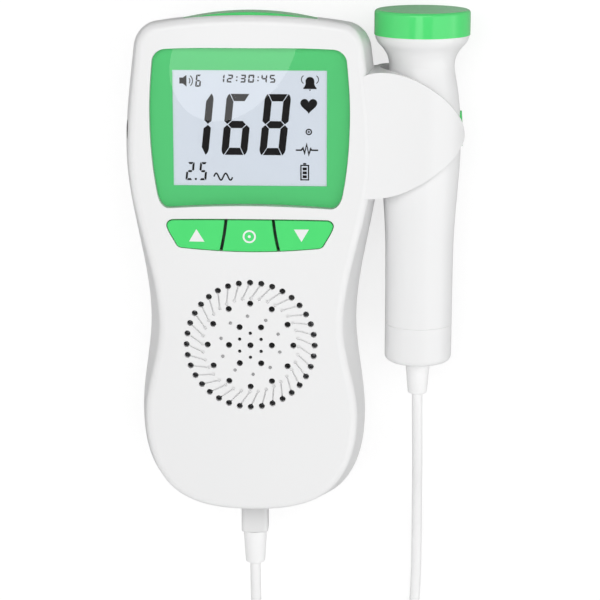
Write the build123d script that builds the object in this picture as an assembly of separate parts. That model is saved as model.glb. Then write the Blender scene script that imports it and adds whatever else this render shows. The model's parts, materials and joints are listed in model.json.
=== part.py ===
from build123d import *
import math
import os

# Pocket fetal heart monitor with its probe parked in the side clip, lying on its back.
# Millimetres. The flat rear face lies on z = 0 and the display looks up +Z, +Y runs to the
# head, +X to the probe. x = 0 is the main unit's middle, y = 0 lies just under the keys.

# ---- clearances and common walls ----
SEAT_GAP = 0.1  # between two fixed pieces, side by side
MOVE_GAP = 0.3  # round a piece that moves
WALL = 2.0  # housing wall of the main unit
REACH = 120.0  # length of cutting bodies that run right through

# ---- main unit: outer form ----
DEPTH = 34.0  # rear face to the crown of the front face
PARTING_Z = 19.0  # height of the seam between the two shells
FRONT_EDGE_Z = DEPTH - 1.5  # height at which the front outline is given
CROWN_RADIUS = 300.0  # front face, arched across its width
HEAD_HALF = 35.9  # half width at the display, on the seam
WAIST_HALF = 29.6  # half width at the grille, on the seam
LOBE_HALF = 32.3  # half width near the foot, on the seam
HEAD_Y = 28.0
WAIST_Y = -20.0
LOBE_Y = -48.0
TOP_Y = 66.2  # highest point of the seam
FOOT_Y = -77.0  # lowest point of the seam
SIDE_LEAN = 2.3  # the side walls lean in by this much from seam to front edge
WAIST_LEAN = 3.9  # and by this much at the waist
REAR_LEAN = 2.5  # and all round from the seam to the rear face
FRONT_EDGE_R = 2.4
REAR_EDGE_R = 3.6
LIP_HEIGHT = 1.4  # locating lip of the rear shell, inside the front one
LIP_WALL = 0.8
SEAM_SINK = 0.2  # depth of the fine groove that runs round the seam
SEAM_HEIGHT = 0.4

# ---- display ----
DISPLAY_Y = 36.1  # centre of the viewing window
WINDOW_SIZE = (42.6, 32.2)
LENS_HALF_TOP = 24.4
LENS_HALF_MAX = 27.6
LENS_HALF_FOOT = 22.4
LENS_TOP_Y = 58.2
LENS_WIDE_Y = 40.0
LENS_FOOT_Y = 14.1
LENS_RECESS = 0.5  # the lens lies this far below the face
LENS_SEAT_Z = DEPTH - 2.8  # flat underside of the lens
FILM_GAP = 0.05  # between the lens and the printed film under it
MASK_THICK = 0.3
LCD_SIZE = (45.0, 35.0, 1.8)
FRAME_THICK = 1.6  # ledge round the display opening
FRAME_RIM = 1.5  # the ledge reaches this far past the lens, at its foot

# ---- circuit board and switches ----
BOARD_THICK = 1.6
BACKLIGHT_THICK = 3.05
BOARD_HALF = 29.0
BOARD_HALF_FOOT = 23.5
BOARD_HALF_TOP = 20.5
BOARD_TOP_Y = 58.5
BOARD_SHOULDER_Y = 52.0
BOARD_STEP_Y = 11.0
BOARD_FOOT_Y = -4.0
POST_R = 2.5
POST_PLACES = [(26.0, 49.0), (26.0, 18.0)]
BOARD_SCREW_R = 0.9
BOARD_SCREW_LENGTH = 4.2
BOARD_HEAD_R = 1.8
BOARD_HEAD_THICK = 1.2
CHIPS = [  # x, y, width, length and height of each large component
    (-9.0, 38.0, 10.0, 10.0, 1.4),
    (9.0, 44.0, 7.0, 5.0, 1.6),
    (12.0, 28.0, 5.0, 5.0, 2.6),
    (-10.0, 20.0, 6.0, 8.0, 1.8),
    (4.0, 14.0, 4.0, 6.0, 3.0),
    (14.0, 4.0, 8.0, 3.2, 2.4),
]
SWITCH_SIZE = (6.0, 3.6, 1.5)

# ---- keys ----
KEY_TOP_Y = 10.9
KEY_FOOT_Y = 1.75
KEY_HALF_TOP = 23.3
KEY_HALF_FOOT = 20.6
KEY_SPLIT_TOP = 6.4  # half width of the middle key, at its top and foot
KEY_SPLIT_FOOT = 8.7
KEY_SLIT = 0.9  # gap between two keys
KEY_PROUD = 0.3
KEY_TRAVEL = 0.6
KEY_FLANGE = 0.5
KEY_FLANGE_THICK = 1.0
KEY_WALL = 1.2  # skirt of a key
KEY_TOP_WALL = 2.2
KEY_PLUNGER_R = 1.6
MAT_THICK = 0.8

# ---- power bar, in the top wall ----
POWER_HALF = 18.4
POWER_RISE = 2.1  # how far its middle stands above its ends
POWER_LOW_Z = PARTING_Z + 3.4
POWER_HIGH_Z = DEPTH - 3.0
POWER_ROUND = 1.0  # rounding of its outer edges
POWER_TRAVEL = 0.6
POWER_FLANGE = 1.0
POWER_FLANGE_THICK = 1.2
PLUNGER_HALF = 2.0
PLUNGER_LOW = 0.6  # from the board
PLUNGER_HIGH = 2.6
POWER_SWITCH = (6.0, 3.2, 3.0)
STEM_R = 1.2
STEM_LENGTH = 0.8

# ---- loudspeaker and grille ----
SPEAKER_Y = -25.1
GRILLE_RINGS = [(18.1, 36, 90), (12.1, 12, 90), (6.05, 6, 0)]  # radius, holes, first angle
GRILLE_HOLE_R = 0.87
GRILLE_FINE_R = 0.5
GRILLE_FINE_RING = 3.5
GRILLE_DIMPLE_RING = 8.5
GRILLE_DIMPLES = 10
GROOVE_INNER = 13.6
GROOVE_TWIST = 9.0  # degrees by which a groove swirls inwards
GROOVE_WIDTH = 0.42
GROOVE_DEPTH = 0.7
SPEAKER_R = 21.0
SPEAKER_RIM = 1.7  # width of the gasket and of the rim that it seats on
GASKET_THICK = 1.2
GASKET_SEAT_Z = DEPTH - 3.0
SPEAKER_RIM_THICK = 1.2
SPEAKER_DEPTH = 5.2  # from the rim down to the flat back
MAGNET_R = 9.0
MAGNET_CLEAR = 0.8  # between the magnet and the roof of the battery bay
BASKET_WALL = 1.0
CONE_R = 17.9
CONE_SEAT = 1.2  # width of the ledge that carries the cone's edge
CONE_LEDGE = 0.6
CONE_THICK = 0.35
CONE_DEPTH = 2.2
DOME_R = 5.0
DOME_RISE = 1.6

# ---- battery bay and door ----
CELL_R = 7.1
CELL_LENGTH = 50.5
CELL_PITCH = 14.7
BAY_CLEAR = 0.9
BAY_TOP_Y = -6.5
BAY_LENGTH = 56.0
BAY_WALL = 1.4
DOOR_HALF = 17.0
DOOR_TOP_Y = -4.6
DOOR_INSET = 0.3  # the door lies this far inside the rear face
DOOR_THICK = 1.7
TAB_REACH = 1.3
TAB_THICK = 1.0
TAB_LENGTH = 7.0
TAB_COUNT = 3  # along each side of the door
DOOR_TRAVEL = 8.0
GRIP_RIBS = 4  # grooves of the door's thumb grip
GRIP_PITCH = 2.2
GRIP_HALF = 7.0
GRIP_DEPTH = 0.5
CONTACT_THICK = 0.5
CONTACT_HALF = 5.0
SPRING_R = (4.2, 2.6)  # at the plate and at the cell

# ---- screws of the case ----
BOSS_R = 3.0
HEAD_R = 1.9
HEAD_THICK = 1.6
SHANK_R = 1.2
SCREW_LENGTH = 15.0
HEAD_SEAT_Z = 11.0
BOSS_PLACES = [(25.6, 55.8), (23.8, -58.0)]

# ---- probe ----
PROBE_X = 47.4
PROBE_Z = 17.0
PROBE_WALL = 1.6
CAP_R = 13.4
CAP_TOP_Y = 67.7
CAP_HEIGHT = 6.9
CAP_WALL = 1.4
NECK_R = 9.15
NECK_Y = 52.2
BELLY_R = 11.3
BELLY_Y = 31.0
TAIL_R = 9.6
TAIL_TOP_Y = -22.0
TAIL_END_Y = -33.2
SPIGOT = 3.6
SPIGOT_WALL = 1.5
CRYSTAL_R = 9.6
CRYSTAL_THICK = 0.7
BACKING_THICK = 6.0
PAD_LENGTH = 10.0
PAD_WIDTH = 6.4
PAD_Y = 34.3
PAD_DROP = 0.4  # it sits this far under the middle of the side
PAD_PROUD = 0.5
PAD_SINK = 0.8  # depth of the recess that takes it

# ---- clip that holds the probe ----
CLIP_WALL = 1.4
CLIP_TIP_ANGLE = 19.0  # front wing ends here, rear arm there; 90 is straight up
CLIP_REAR_ANGLE = 232.0
WING_TIP_X = 59.6
WING_TIP_Y = 33.0
WING_TOP_Y = 51.7
WING_FOOT_Y = 16.7
WING_ROOT_X = 29.0
WING_ROOT_DROP = 2.2  # the upper edge starts this far under its highest point
WING_SINK = 0.12  # the wing leaves the front face this far below it
WEB_DEPTH = 3.5  # the web reaches this far below the probe's axis

# ---- plug, socket and headphone jack ----
PLUG_Z = 17.0
PLUG_SIZE = (7.8, 7.0)
PLUG_END_Y = -86.0
PLUG_BARREL_R = 1.75
PLUG_BARREL = 8.4
SOCKET_SIZE = (9.6, 9.8, 8.6)
SOCKET_INSET = 1.2  # from the inside of the foot wall, at the seam
JACK_Y = 34.0
JACK_R = 1.8
JACK_NOSE_R = 3.0
JACK_LENGTH = 13.0
JACK_SIZE = (6.6, 5.0)

# ---- strain reliefs and cord ----
BOOT_LENGTH = 10.0
PLUG_BOOT_R = (3.5, 2.85)
PROBE_BOOT_R = (3.6, 2.75)
CORD_R = 1.55
COIL_TURNS = 4  # turns side by side in each of the two layers
COIL_RADIUS = 17.05  # at the middle of the turns


def save(name, shape):
    shape.label = name
    export_step(shape, f"parts/{name}.step")


def both_sides(places):
    return [(side * x, y) for x, y in places for side in (1, -1)]


def slab(x_low, x_high, y_low, y_high, z_low, z_high):
    """A plain block between two corners."""
    size = (x_high - x_low, y_high - y_low, z_high - z_low)
    centre = ((x_low + x_high) / 2, (y_low + y_high) / 2, (z_low + z_high) / 2)
    return Pos(*centre) * Box(*size)


def post(x, y, radius, z_low, z_high):
    """An upright round post."""
    return Pos(x, y, (z_low + z_high) / 2) * Cylinder(radius, z_high - z_low)


def disc_y(x, z, radius, y_low, y_high):
    """A round bar that lies along Y."""
    bar = Rot(90, 0, 0) * Cylinder(radius, y_high - y_low)
    return Pos(x, (y_low + y_high) / 2, z) * bar


# ---------------------------------------------------------------- outer form

def crown_z(x, drop=0.0):
    """Height of the front face at x, or of a face that lies drop below it."""
    return DEPTH - CROWN_RADIUS + math.sqrt((CROWN_RADIUS - drop) ** 2 - x ** 2)


def under_crown(drop):
    """Everything between z = 0 and the crowned face, lowered by drop."""
    half = 70.0
    side_z = crown_z(half, drop)
    arc = ThreePointArc((-half, side_z), (0, crown_z(0, drop)), (half, side_z))
    rest = Polyline((half, side_z), (half, 0), (-half, 0), (-half, side_z))
    return extrude(Plane.XZ * make_face(arc + rest), REACH, both=True)


def smooth_edges(knots, inset=0.0):
    """Curves through knots of (x, y, heading in degrees), each moved in by inset.

    A knot's heading is the way the outline runs there, clockwise, so that its inner side lies
    to the right. The handles have the length that makes an even bend an arc.
    """
    points = []
    for x, y, heading in knots:
        along = Vector(1, 0).rotate(Axis.Z, heading)
        points.append((Vector(x, y) + inset * Vector(along.Y, -along.X), along, heading))
    edges = []
    for (start, leave, turn_a), (end, arrive, turn_b) in zip(points, points[1:]):
        bend = math.radians(max(abs(turn_b - turn_a), 1.0))
        share = 4 / 3 * math.tan(bend / 4) / (2 * math.sin(bend / 2))
        handle = share * (end - start).length
        edges.append(Bezier(start, start + leave * handle, end - arrive * handle, end))
    return edges


def mirrored_face(knots, inset=0.0):
    """The face inside a right half outline, from top to foot, and its mirror image."""
    right = smooth_edges(knots, inset)
    left = [mirror(edge, about=Plane.YZ) for edge in reversed(right)]
    return make_face(right + left)


def body_knots(lean):
    """Right half of the main unit: lean 0 is the seam, 1 the front edge."""
    side = lean * SIDE_LEAN
    waist = lean * WAIST_LEAN
    return [
        (0.0, TOP_Y + 1.2 * lean, 0),
        (HEAD_HALF - 8.9 - 0.6 * side, TOP_Y - 1.8 + 0.9 * lean, -10.5),
        (HEAD_HALF - 2.6 - side, TOP_Y - 8.7 + lean, -83),
        (HEAD_HALF - side, HEAD_Y, -90),
        (WAIST_HALF - waist, WAIST_Y, -90),
        (LOBE_HALF - side, LOBE_Y + 1.5 * lean, -90),
        (LOBE_HALF - 5.4 - 1.1 * side, FOOT_Y + 8.0 + 3.0 * lean, -127),
        (0.0, FOOT_Y + 2.7 * lean, -180),
    ]


def outline(lean, inset=0.0):
    return mirrored_face(body_knots(lean), inset)


def tapered(lean_low, z_low, lean_high, z_high, inset_low=0.0, inset_high=0.0):
    """A body between two outlines at two heights."""
    low = Pos(0, 0, z_low) * outline(lean_low, inset_low)
    high = Pos(0, 0, z_high) * outline(lean_high, inset_high)
    return loft([low, high], ruled=True)


def lean_at(z):
    return (z - PARTING_Z) / (FRONT_EDGE_Z - PARTING_Z)


def bottom_edges(body):
    return body.faces().sort_by(Axis.Z)[0].edges()


def front_form():
    top = DEPTH + 1.0
    body = tapered(0, PARTING_Z, lean_at(top), top) & under_crown(0)
    return fillet(body.faces().sort_by(Axis.Z)[-1].edges(), FRONT_EDGE_R)


def front_hollow():
    top = DEPTH + 1.0
    return tapered(0, PARTING_Z, lean_at(top), top, WALL, WALL) & under_crown(WALL)


def rear_form():
    body = tapered(0, 0, 0, PARTING_Z, REAR_LEAN, 0)
    return fillet(bottom_edges(body), REAR_EDGE_R)


def rear_hollow():
    floor_inset = WALL + REAR_LEAN * (1 - WALL / PARTING_Z)
    body = tapered(0, WALL, 0, PARTING_Z, floor_inset, WALL)
    return fillet(bottom_edges(body), REAR_EDGE_R - WALL)


def seam_ring(outer_inset, inner_inset, height):
    """A ring that stands on the seam, between two insets from the outline."""
    ring = outline(0, outer_inset) - outline(0, inner_inset)
    return Pos(0, 0, PARTING_Z) * extrude(ring, height)


# ---------------------------------------------------------------- probe clip

CLIP_R = BELLY_R + MOVE_GAP
CLIP_OUTER_R = CLIP_R + CLIP_WALL


def wing_plan():
    """Plan of the front wing: a rounded tongue that reaches round the probe."""
    reach = WING_TIP_X - WING_ROOT_X
    rise = WING_TOP_Y - WING_TIP_Y
    fall = WING_TIP_Y - WING_FOOT_Y
    knots = [
        (WING_ROOT_X, WING_TOP_Y - WING_ROOT_DROP, 35),
        (WING_ROOT_X + 0.216 * reach, WING_TOP_Y, 0),
        (WING_ROOT_X + 0.673 * reach, WING_TIP_Y + 0.754 * rise, -33),
        (WING_ROOT_X + 0.908 * reach, WING_TIP_Y + 0.396 * rise, -55),
        (WING_TIP_X, WING_TIP_Y, -90),
        (WING_ROOT_X + 0.935 * reach, WING_TIP_Y - 0.27 * fall, -128),
        (WING_ROOT_X + 0.742 * reach, WING_TIP_Y - 0.589 * fall, -143),
        (WING_ROOT_X + 0.457 * reach, WING_TIP_Y - 0.9 * fall, -158),
        (WING_ROOT_X + 0.245 * reach, WING_TIP_Y - 0.997 * fall, -173),
        (WING_ROOT_X, WING_FOOT_Y, -180),
    ]
    edge = smooth_edges(knots)
    root = Line(edge[-1] @ 1, edge[0] @ 0)
    return extrude(make_face(edge + [root]), REACH)


def clip_section():
    """Section across the clip: the ring round the probe and its web to the main unit."""
    start = math.radians(CLIP_TIP_ANGLE)
    end = math.radians(CLIP_REAR_ANGLE)
    fan_r = 4 * CLIP_OUTER_R
    spokes = 12
    fan = [(PROBE_X, PROBE_Z)]
    for i in range(spokes + 1):
        angle = start + (end - start) * i / spokes
        fan.append((PROBE_X + fan_r * math.cos(angle), PROBE_Z + fan_r * math.sin(angle)))
    ring = Pos(PROBE_X, PROBE_Z) * Circle(CLIP_OUTER_R)
    ring = ring & make_face(Polyline(*fan, close=True))
    crest = PROBE_Z + CLIP_OUTER_R
    root = (WING_ROOT_X, crown_z(WING_ROOT_X) - WING_SINK)
    slope = -WING_ROOT_X / math.sqrt(CROWN_RADIUS ** 2 - WING_ROOT_X ** 2)
    face_line = Spline(root, (PROBE_X, crest), tangents=((1, slope), (1, 0)))
    web_low = PROBE_Z - WEB_DEPTH
    walls = Polyline(
        (PROBE_X, crest),
        (PROBE_X, PROBE_Z),
        (PROBE_X, web_low),
        (WING_ROOT_X, web_low),
        root,
    )
    web = make_face(face_line + walls)
    return (web + ring) - Pos(PROBE_X, PROBE_Z) * Circle(CLIP_R)


def clip():
    """The whole clip, before it is shared out between the two shells."""
    bar = extrude(Plane.XZ * clip_section(), REACH, both=True)
    return bar & wing_plan()


# ---------------------------------------------------------------- display

def lens_face(grow=0.0):
    """Rounded trapezium of the lens, grown by the given amount."""
    knots = [
        (0.0, LENS_TOP_Y + 0.3, 0),
        (LENS_HALF_TOP - 1.4, LENS_TOP_Y - 0.1, -4),
        (LENS_HALF_TOP + 2.3, LENS_TOP_Y - 3.5, -84),
        (LENS_HALF_MAX, LENS_WIDE_Y, -90),
        (LENS_HALF_FOOT + 3.3, LENS_FOOT_Y + 3.6, -101),
        (LENS_HALF_FOOT, LENS_FOOT_Y - 0.1, -184),
        (0.0, LENS_FOOT_Y + 0.8, -180),
    ]
    return mirrored_face(knots, -grow)


def window(width, height, z_low, z_high):
    """A block over the viewing window."""
    return Pos(0, DISPLAY_Y, (z_low + z_high) / 2) * Box(width, height, z_high - z_low)


MASK_Z = LENS_SEAT_Z - FILM_GAP - MASK_THICK
LCD_Z = MASK_Z - LCD_SIZE[2]
BOARD_Z = LCD_Z - BACKLIGHT_THICK  # front face of the board
BOARD_REAR_Z = BOARD_Z - BOARD_THICK


def display_lens():
    body = Pos(0, 0, LENS_SEAT_Z) * extrude(lens_face(), DEPTH)
    return body & under_crown(LENS_RECESS)


def display_mask():
    film = Pos(0, 0, MASK_Z) * extrude(lens_face(), MASK_THICK)
    return film - window(*WINDOW_SIZE, MASK_Z - 1, MASK_Z + 1)


def lcd_panel():
    return window(LCD_SIZE[0], LCD_SIZE[1], LCD_Z, MASK_Z)


def lcd_backlight():
    return window(LCD_SIZE[0], LCD_SIZE[1], BOARD_Z, LCD_Z)


# ---------------------------------------------------------------- keys

MAT_Z = BOARD_Z + SWITCH_SIZE[2]
KEY_Z = MAT_Z + MAT_THICK + KEY_TRAVEL + SEAT_GAP  # underside of a key, at rest
KEY_MID_Y = (KEY_TOP_Y + KEY_FOOT_Y) / 2
KEY_SIDE_X = (KEY_SPLIT_TOP + KEY_SPLIT_FOOT + 2 * KEY_HALF_TOP - 1) / 4


def keys_face(inset=0.0):
    """The boat-shaped opening that the three keys share."""
    knots = [
        (0.0, KEY_TOP_Y + 0.25, 0),
        (KEY_HALF_TOP - 1.9, KEY_TOP_Y - 0.05, -2),
        (KEY_HALF_TOP, KEY_TOP_Y - 2.2, -105),
        (KEY_HALF_FOOT + 0.1, KEY_FOOT_Y + 1.9, -117),
        (KEY_HALF_FOOT - 1.6, KEY_FOOT_Y + 0.9, -175),
        (0.0, KEY_FOOT_Y, -180),
    ]
    return mirrored_face(knots, inset)


def split_arc(shift):
    """The curved line between the middle key and the right one, moved sideways."""
    middle = (KEY_SPLIT_TOP + KEY_SPLIT_FOOT) / 2 - 0.35
    return ThreePointArc(
        (KEY_SPLIT_TOP + shift, KEY_TOP_Y + 2),
        (middle + shift, KEY_MID_Y),
        (KEY_SPLIT_FOOT + shift, KEY_FOOT_Y - 2),
    )


def key_zone(place):
    """The area of one key: place is -1, 0 or 1, from left to right."""
    half_slit = KEY_SLIT / 2
    top = KEY_TOP_Y + 2
    foot = KEY_FOOT_Y - 2
    if place:
        arc = split_arc(half_slit)
        far = 2 * KEY_HALF_TOP
        rest = Polyline(arc @ 1, (far, foot), (far, top), arc @ 0)
        face = make_face(arc + rest)
        return face if place > 0 else mirror(face, about=Plane.YZ)
    arc = split_arc(-half_slit)
    other = mirror(arc, about=Plane.YZ)
    return make_face([arc, other, Line(arc @ 0, other @ 0), Line(arc @ 1, other @ 1)])


def key(place):
    """A key cap: a crowned top, a flange that hooks under the housing, a skirt and a plunger."""
    zone = key_zone(place)
    cap = Pos(0, 0, KEY_Z) * extrude(keys_face(MOVE_GAP) & zone, DEPTH)
    cap = cap & under_crown(-KEY_PROUD)
    flange = Pos(0, 0, KEY_Z) * extrude(keys_face(-KEY_FLANGE) & zone, DEPTH)
    flange = flange & under_crown(WALL + SEAT_GAP)
    flange = flange - under_crown(WALL + SEAT_GAP + KEY_FLANGE_THICK)
    hollow = keys_face(MOVE_GAP + KEY_WALL) & offset(zone, -KEY_WALL)
    ceiling = DEPTH - KEY_TOP_WALL
    body = cap + flange - Pos(0, 0, KEY_Z) * extrude(hollow, ceiling - KEY_Z)
    return body + post(place * KEY_SIDE_X, KEY_MID_Y, KEY_PLUNGER_R, KEY_Z, ceiling)


def keypad_mat():
    half = KEY_HALF_FOOT + 0.6
    return slab(-half, half, KEY_FOOT_Y - 0.6, KEY_TOP_Y + 0.6, MAT_Z, MAT_Z + MAT_THICK)


def key_switches():
    width, depth, height = SWITCH_SIZE
    group = []
    for place in (-1, 0, 1):
        centre = (place * KEY_SIDE_X, KEY_MID_Y, BOARD_Z + height / 2)
        group.append(Pos(*centre) * Box(width, depth, height))
    return Compound(children=group)


# ---------------------------------------------------------------- power bar

POWER_END_Y = TOP_Y - 0.3
POWER_FLANGE_Y = TOP_Y - WALL - 1.1  # outer side of the flange
POWER_BASE_Y = POWER_FLANGE_Y - POWER_FLANGE_THICK
SWITCH_FOOT_Y = DISPLAY_Y + LCD_SIZE[1] / 2 + MOVE_GAP
STEM_Y = SWITCH_FOOT_Y + POWER_SWITCH[1] + STEM_LENGTH
PLUNGER_Y = STEM_Y + SEAT_GAP + POWER_TRAVEL


def power_button():
    """A shallow bow along the top edge, with a flange and a plunger inside the wall."""
    peak = POWER_END_Y + POWER_RISE
    bow = ThreePointArc((-POWER_HALF, POWER_END_Y), (0, peak), (POWER_HALF, POWER_END_Y))
    side = Polyline(
        (POWER_HALF, POWER_END_Y),
        (POWER_HALF, POWER_BASE_Y),
        (-POWER_HALF, POWER_BASE_Y),
        (-POWER_HALF, POWER_END_Y),
    )
    body = extrude(make_face(bow + side), POWER_HIGH_Z - POWER_LOW_Z)
    body = Pos(0, 0, POWER_LOW_Z) * body
    crest = body.edges().filter_by(GeomType.CIRCLE)
    body = fillet(crest, POWER_ROUND)
    reach = POWER_HALF + POWER_FLANGE
    low = POWER_LOW_Z - POWER_FLANGE
    flange = slab(-reach, reach, POWER_BASE_Y, POWER_FLANGE_Y, low, POWER_HIGH_Z - MOVE_GAP)
    plunger = slab(-PLUNGER_HALF, PLUNGER_HALF, PLUNGER_Y, POWER_BASE_Y, BOARD_Z + PLUNGER_LOW,
                   BOARD_Z + PLUNGER_HIGH)
    return body + flange + plunger


def power_opening():
    half = POWER_HALF + MOVE_GAP
    low = POWER_LOW_Z - MOVE_GAP
    return slab(-half, half, POWER_FLANGE_Y - 3, TOP_Y + 10, low, POWER_HIGH_Z + MOVE_GAP)


def power_switch():
    width, length, height = POWER_SWITCH
    body = slab(-width / 2, width / 2, SWITCH_FOOT_Y, SWITCH_FOOT_Y + length, BOARD_Z,
                BOARD_Z + height)
    middle = BOARD_Z + (PLUNGER_LOW + PLUNGER_HIGH) / 2
    return body + disc_y(0, middle, STEM_R, SWITCH_FOOT_Y + length, STEM_Y)


# ---------------------------------------------------------------- loudspeaker

SPEAKER = Pos(0, SPEAKER_Y, 0)
SPEAKER_INNER_R = SPEAKER_R - SPEAKER_RIM
GASKET_Z = GASKET_SEAT_Z - GASKET_THICK
RIM_Z = GASKET_Z - SPEAKER_RIM_THICK
BASKET_Z = RIM_Z - SPEAKER_DEPTH


def grille_holes():
    """Three rings of round holes, a centre hole and a ring of fine ones."""
    cuts = [post(0, 0, GRILLE_HOLE_R, GASKET_Z, DEPTH + 2)]
    for radius, count, angle in GRILLE_RINGS:
        for place in PolarLocations(radius, count, start_angle=angle):
            cuts.append(place * post(0, 0, GRILLE_HOLE_R, GASKET_Z, DEPTH + 2))
    for place in PolarLocations(GRILLE_FINE_RING, 6, start_angle=30):
        cuts.append(place * post(0, 0, GRILLE_FINE_R, GASKET_Z, DEPTH + 2))
    return [SPEAKER * cut for cut in cuts]


def grille_relief():
    """Shallow marks in the face: a groove that swirls in from each outer hole, and dimples."""
    radius, count, _ = GRILLE_RINGS[0]
    twist = math.radians(GROOVE_TWIST)
    inner = Vector(GROOVE_INNER * math.cos(twist), GROOVE_INNER * math.sin(twist))
    outer = Vector(radius, 0)
    middle = (inner + outer) / 2
    angle = math.degrees(math.atan2((outer - inner).Y, (outer - inner).X))
    line = Pos(middle.X, middle.Y) * Rot(0, 0, angle)
    groove = line * Rectangle((outer - inner).length, GROOVE_WIDTH)
    groove = groove + Pos(inner.X, inner.Y) * Circle(GRILLE_FINE_R)
    marks = [place * groove for place in PolarLocations(0, count, start_angle=90)]
    for place in PolarLocations(GRILLE_DIMPLE_RING, GRILLE_DIMPLES, start_angle=95):
        marks.append(place * Circle(GRILLE_FINE_R))
    cuts = [SPEAKER * extrude(mark, DEPTH + 2) for mark in marks]
    deep = under_crown(GROOVE_DEPTH)
    return [cut - deep for cut in cuts]


def speaker_seat():
    """Flat ring and collar inside the front shell that take the gasket and the rim."""
    outer = SPEAKER_R + SEAT_GAP + 1.2
    ring = post(0, 0, outer, RIM_Z, DEPTH)
    ring = ring - post(0, 0, SPEAKER_R + SEAT_GAP, RIM_Z, GASKET_SEAT_Z)
    ring = ring - post(0, 0, SPEAKER_INNER_R, RIM_Z, DEPTH)
    return SPEAKER * ring


def speaker_gasket():
    ring = post(0, 0, SPEAKER_R, GASKET_Z, GASKET_SEAT_Z)
    return SPEAKER * (ring - post(0, 0, SPEAKER_INNER_R, GASKET_Z - 1, DEPTH))


def speaker_frame():
    """Pressed basket: a rim, a ledge for the cone, a conical wall with windows and a flat back."""
    ledge_z = GASKET_Z - CONE_LEDGE
    profile = make_face(Polyline(
        (SPEAKER_R, GASKET_Z),
        (SPEAKER_R, RIM_Z),
        (CONE_R, RIM_Z),
        (MAGNET_R + 1.6, BASKET_Z),
        (0, BASKET_Z),
        (0, BASKET_Z + BASKET_WALL),
        (MAGNET_R + 1.0, BASKET_Z + BASKET_WALL),
        (CONE_R - CONE_SEAT, ledge_z),
        (CONE_R, ledge_z),
        (CONE_R, GASKET_Z),
        close=True,
    ))
    body = revolve(Plane.XZ * profile, Axis.Z)
    for place in PolarLocations((MAGNET_R + CONE_R) / 2 + 0.8, 4, start_angle=45):
        body = body - place * post(0, 0, 2.4, BASKET_Z - 1, RIM_Z - 0.3)
    return SPEAKER * body


def speaker_cone():
    """Thin paper cone: a flat edge on the ledge, a shallow funnel and a dust dome."""
    seat_z = GASKET_Z - CONE_LEDGE
    deep_z = seat_z - CONE_DEPTH
    top = [
        (CONE_R - SEAT_GAP, seat_z + CONE_THICK),
        (CONE_R - CONE_SEAT - 0.8, seat_z + CONE_THICK),
        (DOME_R, deep_z + CONE_THICK),
    ]
    under = [(x, z - CONE_THICK) for x, z in reversed(top)]
    skin = make_face(Polyline(*top, *under, close=True))
    crest = (0, deep_z + CONE_THICK + DOME_RISE)
    edge = (DOME_R, deep_z + CONE_THICK)
    shoulder = (DOME_R / math.sqrt(2), deep_z + CONE_THICK + 0.55 * DOME_RISE)
    arc = ThreePointArc(crest, shoulder, edge)
    rest = Polyline(edge, (DOME_R, deep_z), (0, deep_z), crest)
    return SPEAKER * revolve(Plane.XZ * (skin + make_face(arc + rest)), Axis.Z)


def speaker_magnet():
    low = BAY_ROOF_Z + BAY_WALL + MAGNET_CLEAR
    return SPEAKER * post(0, 0, MAGNET_R, low, BASKET_Z)


# ---------------------------------------------------------------- board

def board_outline():
    zones = [
        (BOARD_HALF, BOARD_STEP_Y, BOARD_SHOULDER_Y),
        (BOARD_HALF_TOP, DISPLAY_Y, BOARD_TOP_Y),
        (BOARD_HALF_FOOT, BOARD_FOOT_Y, DISPLAY_Y),
    ]
    whole = Sketch()
    for half, low, high in zones:
        whole = whole + Pos(0, (low + high) / 2) * Rectangle(2 * half, high - low)
    return fillet(whole.vertices(), 1.2)


def main_board():
    body = Pos(0, 0, BOARD_REAR_Z) * extrude(board_outline(), BOARD_THICK)
    for x, y in both_sides(POST_PLACES):
        body = body - post(x, y, BOARD_SCREW_R + SEAT_GAP, 0, DEPTH)
    return body


def board_chips():
    """The larger components on the rear side of the board."""
    group = []
    for x, y, width, length, height in CHIPS:
        centre = (x, y, BOARD_REAR_Z - height / 2)
        group.append(Pos(*centre) * Box(width, length, height))
    return Compound(children=group)


def board_screws():
    group = []
    for x, y in both_sides(POST_PLACES):
        head = post(x, y, BOARD_HEAD_R, BOARD_REAR_Z - BOARD_HEAD_THICK, BOARD_REAR_Z)
        tip_z = BOARD_REAR_Z + BOARD_SCREW_LENGTH
        group.append(head + post(x, y, BOARD_SCREW_R, BOARD_REAR_Z, tip_z))
    return Compound(children=group)


# ---------------------------------------------------------------- battery bay

BAY_HALF = CELL_PITCH / 2 + CELL_R + BAY_CLEAR
BAY_FOOT_Y = BAY_TOP_Y - BAY_LENGTH
DOOR_TOP_Z = DOOR_INSET + DOOR_THICK
TAB_Z = DOOR_TOP_Z - MOVE_GAP
BAY_FLOOR_Z = TAB_Z + TAB_THICK + MOVE_GAP
CELL_Z = BAY_FLOOR_Z + SEAT_GAP + CELL_R
BAY_ROOF_Z = CELL_Z + CELL_R + MOVE_GAP
TAB_TOP_Y = BAY_TOP_Y - 1.5
TAB_PITCH = (BAY_LENGTH - DOOR_TRAVEL - TAB_LENGTH - 3.0) / (TAB_COUNT - 1)
TAB_PLACES = [TAB_TOP_Y - i * TAB_PITCH for i in range(TAB_COUNT)]  # upper end of each tab
GROOVE_FOOT_Y = TAB_PLACES[-1] - TAB_LENGTH - DOOR_TRAVEL - MOVE_GAP
RAIL_HALF = DOOR_HALF + TAB_REACH + MOVE_GAP + BAY_WALL


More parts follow.
